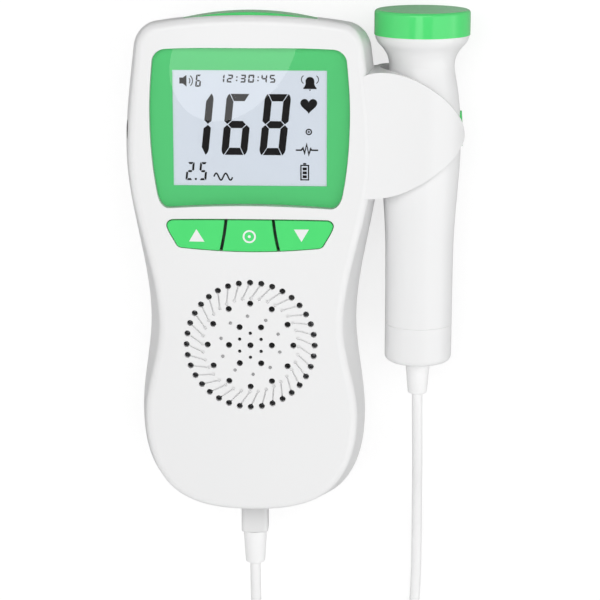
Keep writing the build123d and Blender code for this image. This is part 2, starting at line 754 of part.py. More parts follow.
def bay_block():
    """Walls, roof and rails of the battery bay, still solid."""
    outer = BAY_HALF + BAY_WALL
    walls = slab(-outer, outer, BAY_FOOT_Y - BAY_WALL, BAY_TOP_Y + BAY_WALL,
                 BAY_FLOOR_Z, BAY_ROOF_Z + BAY_WALL)
    rails = slab(-RAIL_HALF, RAIL_HALF, GROOVE_FOOT_Y - BAY_WALL, DOOR_TOP_Y + BAY_WALL,
                 WALL / 2, BAY_FLOOR_Z + BAY_WALL)
    foot = slab(-outer, outer, FOOT_Y, BAY_FOOT_Y, BAY_FLOOR_Z, BAY_FLOOR_Z + BAY_WALL)
    return walls + rails + foot


def bay_cuts():
    """The room for the cells, the way through the floor and the grooves for the door's tabs."""
    cells = slab(-BAY_HALF, BAY_HALF, BAY_FOOT_Y, BAY_TOP_Y, 0, BAY_ROOF_Z)
    half = DOOR_HALF + MOVE_GAP
    way = slab(-half, half, FOOT_Y - 5, DOOR_TOP_Y + MOVE_GAP, -1, BAY_FLOOR_Z)
    reach = DOOR_HALF + TAB_REACH + MOVE_GAP
    cuts = cells + way
    cuts = cuts + slab(-reach, reach, GROOVE_FOOT_Y, TAB_TOP_Y + MOVE_GAP, TAB_Z - MOVE_GAP,
                       BAY_FLOOR_Z)
    for tab_y in TAB_PLACES:
        gap_top_y = tab_y - DOOR_TRAVEL + MOVE_GAP
        gap_foot_y = tab_y - TAB_LENGTH - DOOR_TRAVEL - MOVE_GAP
        cuts = cuts + slab(-reach, reach, gap_foot_y, gap_top_y, -1, BAY_FLOOR_Z)
    return cuts


def battery_door():
    """Cover with short tabs along each side and a ribbed thumb grip at its foot end."""
    plate = slab(-DOOR_HALF, DOOR_HALF, FOOT_Y - 5, DOOR_TOP_Y, DOOR_INSET, DOOR_TOP_Z)
    body = plate & rear_form()
    reach = DOOR_HALF + TAB_REACH
    for tab_y in TAB_PLACES:
        bar = slab(-reach, reach, tab_y - TAB_LENGTH, tab_y, TAB_Z, TAB_Z + TAB_THICK)
        middle = slab(2 - DOOR_HALF, DOOR_HALF - 2, tab_y - TAB_LENGTH, tab_y, DOOR_TOP_Z,
                      TAB_Z + TAB_THICK)
        body = body + (bar - middle)
    for i in range(GRIP_RIBS):
        y = BAY_FOOT_Y + GRIP_PITCH * (i + 2)
        body = body - slab(-GRIP_HALF, GRIP_HALF, y, y + GRIP_PITCH / 2, 0,
                           DOOR_INSET + GRIP_DEPTH)
    return body


def battery_cells():
    """Two AA cells, head to tail."""
    group = []
    for side in (-1, 1):
        can = disc_y(0, 0, CELL_R, -CELL_LENGTH / 2, CELL_LENGTH / 2 - 1.2)
        can = can + disc_y(0, 0, 2.7, CELL_LENGTH / 2 - 1.2, CELL_LENGTH / 2)
        turn = 0 if side > 0 else 180
        middle = (BAY_TOP_Y + BAY_FOOT_Y) / 2 + side * CELL_SHIFT
        group.append(Pos(side * CELL_PITCH / 2, middle, CELL_Z) * Rot(0, 0, turn) * can)
    return Compound(children=group)


SPRING_LENGTH = BAY_LENGTH - CELL_LENGTH - 2 * CONTACT_THICK
CELL_SHIFT = SPRING_LENGTH / 2


def battery_contacts():
    """A flat plate at each cell's head and a plate with a cone spring at its tail."""
    group = []
    for side in (-1, 1):
        x = side * CELL_PITCH / 2
        for end in (-1, 1):
            wall_y = BAY_TOP_Y if end > 0 else BAY_FOOT_Y
            low, high = sorted((wall_y, wall_y - end * CONTACT_THICK))
            plate = slab(x - CONTACT_HALF, x + CONTACT_HALF, low, high, CELL_Z - CONTACT_HALF,
                         CELL_Z + CONTACT_HALF)
            if end != side:
                cone = Cone(*SPRING_R, SPRING_LENGTH)
                middle = wall_y - end * (CONTACT_THICK + SPRING_LENGTH / 2)
                plate = plate + Pos(x, middle, CELL_Z) * Rot(end * 90, 0, 0) * cone
            group.append(plate)
    return Compound(children=group)


# ---------------------------------------------------------------- case screws

def boss_outer(z_low, z_high):
    return [post(x, y, BOSS_R, z_low, z_high) for x, y in both_sides(BOSS_PLACES)]


def case_screws():
    group = []
    for x, y in both_sides(BOSS_PLACES):
        head = post(x, y, HEAD_R, HEAD_SEAT_Z - HEAD_THICK, HEAD_SEAT_Z)
        slot = slab(x - HEAD_R + 0.5, x + HEAD_R - 0.5, y - 0.3, y + 0.3, 0,
                    HEAD_SEAT_Z - HEAD_THICK + 0.8)
        cross = slab(x - 0.3, x + 0.3, y - HEAD_R + 0.5, y + HEAD_R - 0.5, 0,
                     HEAD_SEAT_Z - HEAD_THICK + 0.8)
        shank = post(x, y, SHANK_R, HEAD_SEAT_Z, HEAD_SEAT_Z + SCREW_LENGTH)
        group.append(head + shank - slot - cross)
    return Compound(children=group)


# ---------------------------------------------------------------- sockets and plug

JACK_Z = BOARD_REAR_Z - JACK_SIZE[1] / 2
JACK_NOSE_X = -HEAD_HALF + 0.9
SOCKET_FOOT_Y = FOOT_Y + WALL + SOCKET_INSET


def jack_hole():
    bar = Rot(0, 90, 0) * Cylinder(JACK_NOSE_R + SEAT_GAP, 12)
    return Pos(-HEAD_HALF, JACK_Y, JACK_Z) * bar


def headphone_jack():
    nose = Rot(0, 90, 0) * Cylinder(JACK_NOSE_R, 4)
    body = Pos(JACK_NOSE_X + 2, JACK_Y, JACK_Z) * nose
    width, height = JACK_SIZE
    body = body + slab(JACK_NOSE_X + 3.2, JACK_NOSE_X + JACK_LENGTH + 1, JACK_Y - width / 2,
                       JACK_Y + width / 2, JACK_Z - height / 2, JACK_Z + height / 2)
    bore = Rot(0, 90, 0) * Cylinder(JACK_R, JACK_LENGTH)
    return body - Pos(JACK_NOSE_X + JACK_LENGTH / 2, JACK_Y, JACK_Z) * bore


def plug_opening():
    half_x = PLUG_SIZE[0] / 2 + SEAT_GAP
    half_z = PLUG_SIZE[1] / 2 + SEAT_GAP
    return slab(-half_x, half_x, FOOT_Y - 5, FOOT_Y + WALL + 3, PLUG_Z - half_z, PLUG_Z + half_z)


def probe_socket():
    width, length, height = SOCKET_SIZE
    body = slab(-width / 2, width / 2, SOCKET_FOOT_Y, SOCKET_FOOT_Y + length,
                PLUG_Z - height / 2, PLUG_Z + height / 2)
    bore = PLUG_BARREL_R + 0.05
    return body - disc_y(0, PLUG_Z, bore, SOCKET_FOOT_Y - 1, SOCKET_FOOT_Y + PLUG_BARREL + 0.6)


def socket_shelf():
    """Two ribs that carry the socket on the floor of the bay's foot."""
    width, length, height = SOCKET_SIZE
    ribs = []
    for side in (-1, 1):
        low, high = sorted((side * width / 2, side * (width / 2 - 1.2)))
        ribs.append(slab(low, high, SOCKET_FOOT_Y, SOCKET_FOOT_Y + length - 1, BAY_FLOOR_Z,
                         PLUG_Z - height / 2))
    return ribs


def plug_body():
    width, height = PLUG_SIZE
    nose_y = SOCKET_FOOT_Y - SEAT_GAP
    length = nose_y - PLUG_END_Y
    block = Rot(90, 0, 0) * extrude(RectangleRounded(width, height, 1.3), length / 2, both=True)
    body = Pos(0, (nose_y + PLUG_END_Y) / 2, PLUG_Z) * block
    return fillet(body.faces().sort_by(Axis.Y)[0].edges(), 0.5)


def plug_barrel():
    nose_y = SOCKET_FOOT_Y - SEAT_GAP
    tip_y = nose_y + PLUG_BARREL
    bar = disc_y(0, PLUG_Z, PLUG_BARREL_R, nose_y, tip_y)
    return chamfer(bar.faces().sort_by(Axis.Y)[-1].edges(), 0.5)


def strain_boot(x, z, top_y, radii):
    """A tapered sleeve with a rounded end."""
    big, small = radii
    body = Pos(x, top_y - BOOT_LENGTH / 2, z) * Rot(90, 0, 0) * Cone(big, small, BOOT_LENGTH)
    return fillet(body.faces().sort_by(Axis.Y)[0].edges(), 0.5)


# ---------------------------------------------------------------- probe

CAP_BASE_Y = CAP_TOP_Y - CAP_HEIGHT
SPIGOT_R = CAP_R - CAP_WALL - SEAT_GAP
PROBE = Pos(PROBE_X, 0, PROBE_Z)


def handle_form(grow=0.0):
    """The turned grip, from the cap to the tail, grown by the given amount."""
    knots = [
        (CAP_R - 0.2, CAP_BASE_Y, -95),
        (CAP_R - 1.7, CAP_BASE_Y - 3.0, -136),
        (NECK_R, NECK_Y, -90),
        (NECK_R + 0.75, NECK_Y - 5.0, -80.5),
        (BELLY_R, BELLY_Y, -90),
        (TAIL_R + 0.1, TAIL_TOP_Y + 22.0, -90.6),
        (TAIL_R, TAIL_TOP_Y, -90),
    ]
    side = smooth_edges(knots, -grow)
    start = side[0] @ 0
    end = side[-1] @ 1
    rest = Polyline(end, (0, end.Y), (0, start.Y), start)
    return revolve(make_face(side + [rest]), Axis.Y)


def ring_y(radius, y_low, y_high):
    return disc_y(0, 0, radius, y_low, y_high)


def pad_prism(grow=0.0):
    shape = SlotOverall(PAD_LENGTH + 2 * grow, PAD_WIDTH + 2 * grow)
    prism = Plane.YZ * extrude(shape, 2 * BELLY_R)
    return Pos(0, PAD_Y, -PAD_DROP) * prism


def probe_handle():
    """Turned hollow grip: flared head with a spigot for the cap, waist, belly, slim tail."""
    body = handle_form() + ring_y(SPIGOT_R, CAP_BASE_Y, CAP_BASE_Y + SPIGOT)
    shoulder_y = CAP_BASE_Y - SPIGOT_WALL
    body = body - (handle_form(-PROBE_WALL) - ring_y(CAP_R, shoulder_y, CAP_TOP_Y))
    body = body - ring_y(SPIGOT_R - SPIGOT_WALL, shoulder_y, CAP_BASE_Y + SPIGOT + 1)
    body = body - (pad_prism(SEAT_GAP) - handle_form(-PAD_SINK))
    return PROBE * body


def probe_pad():
    pad = (pad_prism() & handle_form(PAD_PROUD)) - handle_form(-PAD_SINK)
    return PROBE * pad


def probe_cap():
    """Cup with a flat listening face; its side wall slips over the handle's spigot."""
    body = ring_y(CAP_R, CAP_BASE_Y, CAP_TOP_Y)
    body = fillet(body.faces().sort_by(Axis.Y)[-1].edges(), 0.9)
    body = body - ring_y(SPIGOT_R + SEAT_GAP, CAP_BASE_Y - 1, CAP_TOP_Y - CAP_WALL)
    return PROBE * body


def transducer_crystals():
    """One crystal sends and the other listens: two half discs behind the cap's face."""
    face_y = CAP_TOP_Y - CAP_WALL
    disc = ring_y(CRYSTAL_R, face_y - CRYSTAL_THICK, face_y)
    slit = slab(-0.4, 0.4, face_y - 5, face_y + 5, -CAP_R, CAP_R)
    return PROBE * (disc - slit)


def transducer_backing():
    top = CAP_TOP_Y - CAP_WALL - CRYSTAL_THICK
    return PROBE * ring_y(SPIGOT_R - 2.0, top - BACKING_THICK, top)


def probe_board():
    half = TAIL_R - PROBE_WALL - MOVE_GAP
    foot = TAIL_TOP_Y + 6.0
    return PROBE * slab(-half, half, foot, PAD_Y + 4, -0.6, 0.6)


def probe_tail():
    """End cap of the handle, with a hole for the strain relief."""
    body = ring_y(TAIL_R, TAIL_END_Y, TAIL_TOP_Y)
    body = fillet(body.faces().sort_by(Axis.Y)[0].edges(), 1.8)
    body = chamfer(body.faces().sort_by(Axis.Y)[-1].edges(), 0.2)
    spigot_r = TAIL_R - PROBE_WALL - SEAT_GAP
    body = body + ring_y(spigot_r, TAIL_TOP_Y, TAIL_TOP_Y + SPIGOT)
    inner_r = spigot_r - 1.3
    body = body - ring_y(inner_r, TAIL_END_Y + PROBE_WALL, TAIL_TOP_Y + SPIGOT + 1)
    body = body - ring_y(PROBE_BOOT_R[0] + SEAT_GAP, TAIL_END_Y - 1, TAIL_TOP_Y)
    return PROBE * body


def probe_boot():
    boot = strain_boot(PROBE_X, PROBE_Z, TAIL_END_Y, PROBE_BOOT_R)
    neck = ring_y(PROBE_BOOT_R[0], TAIL_END_Y, TAIL_END_Y + PROBE_WALL)
    collar = ring_y(PROBE_BOOT_R[0] + 1.2, TAIL_END_Y + PROBE_WALL, TAIL_END_Y + PROBE_WALL + 1.2)
    return boot + PROBE * (neck + collar)


# ---------------------------------------------------------------- cord

PLUG_BOOT_END = PLUG_END_Y - BOOT_LENGTH
PROBE_BOOT_END = TAIL_END_Y - BOOT_LENGTH
COIL_PITCH = 2 * CORD_R
COIL_OUTER = COIL_RADIUS + (COIL_TURNS - 1) * COIL_PITCH / 2  # middle of the outermost turn
COIL_X = COIL_OUTER
COIL_Y = -142.0
FLOOR_Z = CORD_R

PLUG_ROUTE = [
    (0.0, PLUG_BOOT_END, PLUG_Z),
    (0.0, PLUG_BOOT_END - 9.0, PLUG_Z),
    (0.0, PLUG_BOOT_END - 19.5, 11.6),
    (0.0, PLUG_BOOT_END - 30.0, 4.2),
    (0.0, PLUG_BOOT_END - 41.0, FLOOR_Z),
]
PROBE_ROUTE = [
    (PROBE_X, PROBE_BOOT_END, PROBE_Z),
    (PROBE_X, PROBE_BOOT_END - 10.0, PROBE_Z),
    (PROBE_X, PROBE_BOOT_END - 22.0, 13.4),
    (PROBE_X, PROBE_BOOT_END - 35.0, 6.2),
    (PROBE_X, PROBE_BOOT_END - 49.0, FLOOR_Z),
    (PROBE_X - 0.3, PROBE_BOOT_END - 67.0, FLOOR_Z),
    (PROBE_X - 1.8, PROBE_BOOT_END - 81.0, 2.4),
    (2 * COIL_OUTER, COIL_Y + 5.0, FLOOR_Z + COIL_PITCH),
]


def cord_tube(route):
    """A tube along straight runs that are joined by tangent arcs."""
    points = [Vector(*point) for point in route]
    radii = []
    for before, corner, after in zip(points, points[1:], points[2:]):
        turn = math.radians((corner - before).get_angle(after - corner))
        run = min((corner - before).length, (after - corner).length)
        radii.append(0.45 * run / math.tan(turn / 2))
    path = FilletPolyline(*points, radius=radii)
    print("cord radii", [round(radius, 1) for radius in radii], "length", round(path.length, 1))
    ring = Plane(origin=path @ 0, z_dir=path % 0) * Circle(CORD_R)
    return sweep(ring, path=path)


def cord_coil():
    """The outer shape of the coil of put-away cord: two layers of turns."""
    width = COIL_TURNS * COIL_PITCH
    section = RectangleRounded(width, 2 * COIL_PITCH, CORD_R - 0.05)
    ring = revolve(Plane.XZ * (Pos(COIL_RADIUS, COIL_PITCH) * section), Axis.Z)
    return Pos(COIL_X, COIL_Y, 0) * ring


# ---------------------------------------------------------------- the two shells

def front_shell():
    form = front_form() - seam_ring(-WALL, SEAM_SINK, SEAM_HEIGHT)
    upper_clip = clip() & slab(0, REACH, -REACH, REACH, PARTING_Z, DEPTH)
    body = form + upper_clip - front_hollow()
    frame_top_y = POWER_BASE_Y - POWER_TRAVEL - MOVE_GAP
    frame = slab(-LENS_HALF_MAX - WALL, LENS_HALF_MAX + WALL, LENS_FOOT_Y - FRAME_RIM, frame_top_y,
                 MASK_Z - FRAME_THICK, DEPTH)
    inner = [frame, speaker_seat()]
    inner += boss_outer(PARTING_Z, DEPTH)
    inner += [post(x, y, POST_R, BOARD_Z, DEPTH) for x, y in both_sides(POST_PLACES)]
    for piece in inner:
        body = body + (piece & form)
    body = body - Pos(0, 0, MASK_Z) * extrude(lens_face(SEAT_GAP), DEPTH)
    body = body - window(LCD_SIZE[0] + 2 * SEAT_GAP, LCD_SIZE[1] + 2 * SEAT_GAP, BOARD_Z, DEPTH)
    body = body - Pos(0, 0, PARTING_Z) * extrude(keys_face(), DEPTH)
    body = body - power_opening()
    body = body - jack_hole() - plug_opening()
    body = body - seam_ring(WALL - LIP_WALL - SEAT_GAP, WALL + SEAT_GAP, LIP_HEIGHT + SEAT_GAP)
    body = body - disc_y(PROBE_X, PROBE_Z, CLIP_R, -REACH, REACH)
    for x, y in both_sides(BOSS_PLACES):
        body = body - post(x, y, SHANK_R, 0, HEAD_SEAT_Z + SCREW_LENGTH + 0.5)
    for x, y in both_sides(POST_PLACES):
        body = body - post(x, y, BOARD_SCREW_R, 0, BOARD_REAR_Z + BOARD_SCREW_LENGTH + SEAT_GAP)
    return body - grille_holes() - grille_relief()


def rear_shell():
    form = rear_form()
    lower_clip = clip() & slab(0, REACH, -REACH, REACH, 0, PARTING_Z)
    body = form + lower_clip - rear_hollow()
    inner = [bay_block()]
    inner += boss_outer(0, PARTING_Z)
    inner += socket_shelf()
    for piece in inner:
        body = body + (piece & form)
    body = body + seam_ring(WALL - LIP_WALL, WALL, LIP_HEIGHT)
    body = body - bay_cuts()
    body = body - jack_hole() - plug_opening()
    body = body - disc_y(PROBE_X, PROBE_Z, CLIP_R, -REACH, REACH)
    for x, y in both_sides(BOSS_PLACES):
        body = body - post(x, y, HEAD_R + 0.2, -1, HEAD_SEAT_Z)
        body = body - post(x, y, SHANK_R + 0.2, 0, DEPTH)
    return body


PIECES = {
    "front_shell": front_shell,
    "rear_shell": rear_shell,
    "battery_door": battery_door,
    "display_lens": display_lens,
    "display_mask": display_mask,
    "lcd_panel": lcd_panel,
    "lcd_backlight": lcd_backlight,
    "main_board": main_board,
    "board_chips": board_chips,
    "board_screws": board_screws,
    "key_up": lambda: key(-1),
    "key_ok": lambda: key(0),
    "key_down": lambda: key(1),
    "keypad_mat": keypad_mat,
    "key_switches": key_switches,
    "power_button": power_button,
    "power_switch": power_switch,
    "speaker_gasket": speaker_gasket,
    "speaker_frame": speaker_frame,
    "speaker_cone": speaker_cone,
    "speaker_magnet": speaker_magnet,
    "battery_cells": battery_cells,
    "battery_contacts": battery_contacts,
    "case_screws": case_screws,
    "headphone_jack": headphone_jack,
    "probe_socket": probe_socket,
    "plug_body": plug_body,
    "plug_barrel": plug_barrel,
    "plug_boot": lambda: strain_boot(0, PLUG_Z, PLUG_END_Y, PLUG_BOOT_R),
    "probe_handle": probe_handle,
    "probe_cap": probe_cap,
    "probe_pad": probe_pad,
    "probe_tail": probe_tail,
    "probe_boot": probe_boot,
    "probe_board": probe_board,
    "transducer_crystals": transducer_crystals,
    "transducer_backing": transducer_backing,
    "cord_to_plug": lambda: cord_tube(PLUG_ROUTE),
    "cord_to_probe": lambda: cord_tube(PROBE_ROUTE),
    "cord_coil": cord_coil,
}

os.makedirs("parts", exist_ok=True)
for name, make in PIECES.items():
    save(name, make())
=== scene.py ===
# %% [markdown]
# # A pocket fetal heart monitor
#
# The object lies on its back: a white moulded unit with a green-framed display, three green keys
# and a loudspeaker grille, and beside it the ultrasound probe, parked in a clip that grows out of
# the case. Its CAD solids already have their true shapes, so this script gives them their
# finishes, and makes what solids can't show: the marks on the display, the symbols on the keys,
# the soft lead, and the light.
#
# We begin by loading the solids. Everything is in metres, so one constant turns the millimetres
# that a maker would use into the units that Blender wants.

# %% Load the solids
import json
import math
import bmesh
import bpy
from mathutils import Matrix, Vector
from mathutils.bvhtree import BVHTree


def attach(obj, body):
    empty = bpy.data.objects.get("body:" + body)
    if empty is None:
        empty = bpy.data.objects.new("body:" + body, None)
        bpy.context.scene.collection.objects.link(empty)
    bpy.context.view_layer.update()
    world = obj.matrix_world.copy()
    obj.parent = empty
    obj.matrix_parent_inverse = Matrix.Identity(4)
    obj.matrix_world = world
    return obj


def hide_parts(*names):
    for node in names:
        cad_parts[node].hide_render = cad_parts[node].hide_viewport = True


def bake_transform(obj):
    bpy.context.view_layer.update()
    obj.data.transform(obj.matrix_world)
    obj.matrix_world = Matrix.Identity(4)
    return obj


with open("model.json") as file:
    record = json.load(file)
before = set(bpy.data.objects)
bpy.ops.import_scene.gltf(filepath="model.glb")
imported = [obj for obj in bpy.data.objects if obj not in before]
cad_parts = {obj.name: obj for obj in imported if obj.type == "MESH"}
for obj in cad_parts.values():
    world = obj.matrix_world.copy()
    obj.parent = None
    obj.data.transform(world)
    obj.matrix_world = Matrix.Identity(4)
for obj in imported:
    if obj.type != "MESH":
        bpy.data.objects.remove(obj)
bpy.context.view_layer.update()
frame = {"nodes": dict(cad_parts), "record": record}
nodes = frame["nodes"]
MM = 0.001

# %% [markdown]
# ## The camera
#
# The view is from above the display, leaning a little towards the head of the unit, through a
# long lens that keeps the sides nearly parallel. A camera looks along its own -Z with +Y up. We
# work its three axes out from the direction that it looks from, and put them into one matrix.

# %% Place the camera
VIEW_TARGET = Vector((14.0, -11.8, 34.0)) * MM
VIEW_DISTANCE = 574 * MM
VIEW_SIDEWAYS = math.radians(2.5)
VIEW_HEADWARDS = math.radians(13.7)

backward = Vector((
    math.sin(VIEW_SIDEWAYS) * math.cos(VIEW_HEADWARDS),
    math.sin(VIEW_HEADWARDS),
    math.cos(VIEW_SIDEWAYS) * math.cos(VIEW_HEADWARDS),
))
rightward = Vector((0, 1, 0)).cross(backward).normalized()
upward = backward.cross(rightward)
axes = Matrix((rightward, upward, backward)).transposed().to_4x4()

camera_data = bpy.data.cameras.new("camera")
camera_data.sensor_width = 36.0
camera_data.lens = 123.0
camera_data.clip_start = 10 * MM
camera = bpy.data.objects.new("camera", camera_data)
camera.matrix_world = Matrix.Translation(VIEW_TARGET + backward * VIEW_DISTANCE) @ axes
bpy.context.scene.collection.objects.link(camera)
bpy.context.scene.camera = camera
bpy.context.scene.view_settings.view_transform = "Standard"
print("camera at", [round(v / MM) for v in camera.matrix_world.translation], "mm")

# %% [markdown]
# ## The lead
#
# One soft cord joins the plug at the foot of the unit to the tail of the probe. What isn't in use
# lies in a neat coil beyond the foot. A NURBS curve suits a cord, because it bends evenly between
# a few given points. The two loose ends have such points, in millimetres: each end leaves its
# strain relief straight, comes down under its own weight, and runs along the table.

# %% Choose the loose ends
LEAD_RADIUS = 1.55 * MM
PLUG_EXIT = (0.0, -96.0, 17.0)
PROBE_EXIT = (47.4, -43.2, 17.0)

from_plug = [
    PLUG_EXIT,
    (0.0, -105.0, 17.0),
    (0.0, -115.5, 11.6),
    (0.0, -126.0, 4.2),
    (0.0, -137.0, 1.55),
]
to_probe = [
    (43.4, -137.0, 4.65),
    (46.8, -124.2, 2.4),
    (48.0, -110.2, 1.55),
    (48.1, -92.2, 1.55),
    (47.9, -78.2, 6.2),
    (47.8, -65.2, 13.4),
    (47.5, -53.2, 17.0),
    PROBE_EXIT,
]
print(len(from_plug), "points at the plug and", len(to_probe), "at the probe")

# %% [markdown]
# A loop adds the points of the coil, which has two layers. The cord enters at the left, winds
# inwards on the table, climbs once, and winds outwards on top of itself. Each turn is a circle. In
# its last quarter it steps to the next one, within a sixth of a turn, so that the turns lie side
# by side. The climb takes a sixth of a turn too. The points stand a little outside the circle,
# because the curve cuts inside the corners between them.

# %% Wind the coil
COIL_CENTRE = (21.7, -142.0)
COIL_RADII = (21.7, 18.6, 15.5, 12.4)
COIL_HEIGHTS = (1.55, 4.65)
COIL_ORDER = (0, 1, 2, 3, 3, 2, 1, 0)
POINTS_PER_TURN = 16
TURNS = 7.5
STEP_START = 0.75
STEPS_IN_TURN = 6
CLIMB_START = 4 - 1 / 12


def ease(value):
    """From 0 to 1 with a soft start and end."""
    value = min(max(value, 0.0), 1.0)
    return value * value * (3 - 2 * value)


def coil_point(turn):
    """A point of the coil, from its turn number; whole turns are at the coil's left."""
    whole = min(int(turn), len(COIL_ORDER) - 2)
    step = ease((turn - whole - STEP_START) * STEPS_IN_TURN)
    inner, outer = COIL_RADII[COIL_ORDER[whole]], COIL_RADII[COIL_ORDER[whole + 1]]
    radius = (inner + (outer - inner) * step) / math.cos(math.pi / POINTS_PER_TURN)
    climb = ease((turn - CLIMB_START) * STEPS_IN_TURN)
    height = COIL_HEIGHTS[0] + (COIL_HEIGHTS[1] - COIL_HEIGHTS[0]) * climb
    angle = math.pi + math.tau * turn
    x = COIL_CENTRE[0] + radius * math.cos(angle)
    y = COIL_CENTRE[1] + radius * math.sin(angle)
    return (x, y, height)


coil = [coil_point(i / POINTS_PER_TURN) for i in range(int(TURNS * POINTS_PER_TURN) + 1)]
route = from_plug + coil + to_probe
print(len(route), "points, of which", len(coil), "in the coil")

# %% [markdown]
# Two helpers make the spline and turn it into a mesh. The spline's order is set after its points,
# because a spline with too few points falls back to straight runs.

# %% Turn a curve into a mesh
def nurbs_line(name, points):
    """A smooth curve that starts at the first point and ends at the last."""
    data = bpy.data.curves.new(name, "CURVE")
    data.dimensions = "3D"
    data.resolution_u = 6
    spline = data.splines.new("NURBS")
    spline.points.add(len(points) - 1)
    for knot, (x, y, z) in zip(spline.points, points):
        knot.co = (x * MM, y * MM, z * MM, 1.0)
    spline.order_u = 3
    spline.use_endpoint_u = True
    return data


def mesh_of(data):
    """The mesh that a curve's data stands for."""
    holder = bpy.data.objects.new("holder", data)
    mesh = bpy.data.meshes.new_from_object(holder)
    bpy.data.objects.remove(holder)
    return mesh


print("curves can be made, and turned into meshes")

# %% [markdown]
# Without a bevel the curve turns into a plain line of vertices: that is the path that the cord
# follows. With a bevel it turns into the tube itself.

# %% Make the lead
lead_curve = nurbs_line("lead_line", route)
lead_path = [vertex.co.copy() for vertex in mesh_of(lead_curve).vertices]
lead_curve.bevel_depth = LEAD_RADIUS
lead_curve.bevel_resolution = 5
lead_curve.use_fill_caps = True
lead_mesh = mesh_of(lead_curve)
lead_mesh.name = "lead"
lead_mesh.shade_smooth()
lead = bpy.data.objects.new("lead", lead_mesh)
bpy.context.scene.collection.objects.link(lead)
measured = sum((b - a).length for a, b in zip(lead_path, lead_path[1:]))
print("lead:", round(measured, 3), "m,", len(lead_mesh.polygons), "faces")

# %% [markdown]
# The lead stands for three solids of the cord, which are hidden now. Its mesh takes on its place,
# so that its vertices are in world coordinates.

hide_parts("cord_to_plug", "cord_coil", "cord_to_probe")
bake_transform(lead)

# %% [markdown]
# ## Arithmetic with shader sockets
#
# A finish is a small network of nodes, and wiring it by hand hides the idea behind it. The class
# below wraps one output socket. Adding, multiplying or comparing two of them adds the Math node
# that does it. Fading has a method of its own, and so have colours, because a Math node would
# turn them grey.

# %% Wrap a socket
class Wire:
    """One output socket of a node tree, with arithmetic."""

    def __init__(self, tree, socket):
        self.tree = tree
        self.socket = socket

    def node(self, kind, settings=None, inputs=None, output=0):
        """Any other node, in this socket's tree."""
        return add_node(self.tree, kind, settings, inputs, output)

    def math(self, operation, first, second):
        """A Math node on two values, each a Wire or a number."""
        return self.node("Math", {"operation": operation}, {0: first, 1: second})

    def __add__(self, other):
        return self.math("ADD", self, other)

    def __sub__(self, other):
        return self.math("SUBTRACT", self, other)

    def __rsub__(self, other):
        return self.math("SUBTRACT", other, self)

    def __mul__(self, other):
        return self.math("MULTIPLY", self, other)

    def __gt__(self, other):
        return self.math("GREATER_THAN", self, other)

    def __lt__(self, other):
        return self.math("LESS_THAN", self, other)

    __radd__ = __add__
    __rmul__ = __mul__

    def fade(self, low, high):
        """From 0 at low to 1 at high, smooth between and flat beyond; high may be the lesser."""
        settings = {"interpolation_type": "SMOOTHSTEP"}
        return self.node("MapRange", settings, {0: self, 1: low, 2: high})

    def colour(self, low, high):
        """The colour between low and high that this value, from 0 to 1, picks."""
        inputs = {0: self, 6: as_colour(low), 7: as_colour(high)}
        return self.node("Mix", {"data_type": "RGBA"}, inputs, output=2)


print("a socket can be added, multiplied, compared, faded and coloured")

# %% [markdown]
# One function makes every node, from its type, its settings and its inputs. The settings come
# first, because some of them, such as the kind of data that a Mix node mixes, decide which inputs
# there are. An input is a Wire, which gets linked, or a plain value, which is set.

# %% Add a node
def as_colour(value):
    """A Wire as it is, or red, green and blue with full opacity."""
    return value if isinstance(value, Wire) else (*value, 1.0)


def add_node(tree, kind, settings=None, inputs=None, output=0):
    """Adds a node and gives a Wire of one of its outputs, if it has any."""
    made = tree.nodes.new("ShaderNode" + kind)
    for key, value in (settings or {}).items():
        setattr(made, key, value)
    for key, value in (inputs or {}).items():
        if isinstance(value, Wire):
            tree.links.new(value.socket, made.inputs[key])
        else:
            made.inputs[key].default_value = value
    return Wire(tree, made.outputs[output]) if made.outputs else None


print("nodes can be added")

# %% [markdown]
# Every finish starts the same way: an empty material and the place on the object, in metres. The
# place comes from the Object coordinates. All solids sit at the origin, so a pattern keeps its
# real scale and runs on from one piece to the next. Most finishes end with one Principled shader,
# whose inputs are given by name: constants go straight onto its sockets, and only what changes
# over the surface is wired. The window and the table end with a mix of two shaders.

# %% Start and close a finish
finishes = {}


def new_finish(name):
    """An empty material, and the Wire of the place on the object in metres."""
    material = bpy.data.materials.new(name)
    material.use_nodes = True
    material.node_tree.nodes.clear()
    finishes[name] = material
    return add_node(material.node_tree, "TexCoord", output="Object")


def close_finish(place, shader):
    """Wires a shader to the material's output."""
    place.node("OutputMaterial", inputs={"Surface": shader})


def principled(place, **inputs):
    """A Principled shader; Base_Color means the socket Base Color."""
    named = {key.replace("_", " "): value for key, value in inputs.items()}
    return place.node("BsdfPrincipled", inputs=named)


def mixed(place, factor, first, second):
    """A shader that is the first where the factor is 0 and the second where it is 1."""
    return place.node("MixShader", inputs={0: factor, 1: first, 2: second})


print("finishes can be started and closed")

# %% [markdown]
# Between its start and its end, a finish needs a pattern. Four helpers cover this object: one
# coordinate alone, a stretched place for lines and fibres, soft noise, and small cells for pores,
# pits and dots. Their scales are given in grains to the millimetre, as you would count them on the
# real surface. A bump turns a pattern into relief of a true depth.

# %% Make patterns
def axis_of(place, axis):
    """One coordinate of the place, in millimetres."""
    return place.node("SeparateXYZ", inputs={0: place}, output=axis) * (1 / MM)


def stretched(place, x=1.0, y=1.0, z=1.0):
    """The place, with its three coordinates scaled."""
    return place.node("Mapping", {"vector_type": "POINT"}, {"Vector": place, "Scale": (x, y, z)})


def noise(place, per_mm, detail=2.0):
    """Soft noise from 0 to 1, with that many grains to the millimetre."""
    inputs = {"Vector": place, "Scale": per_mm / MM, "Detail": detail}
    return place.node("TexNoise", inputs=inputs)


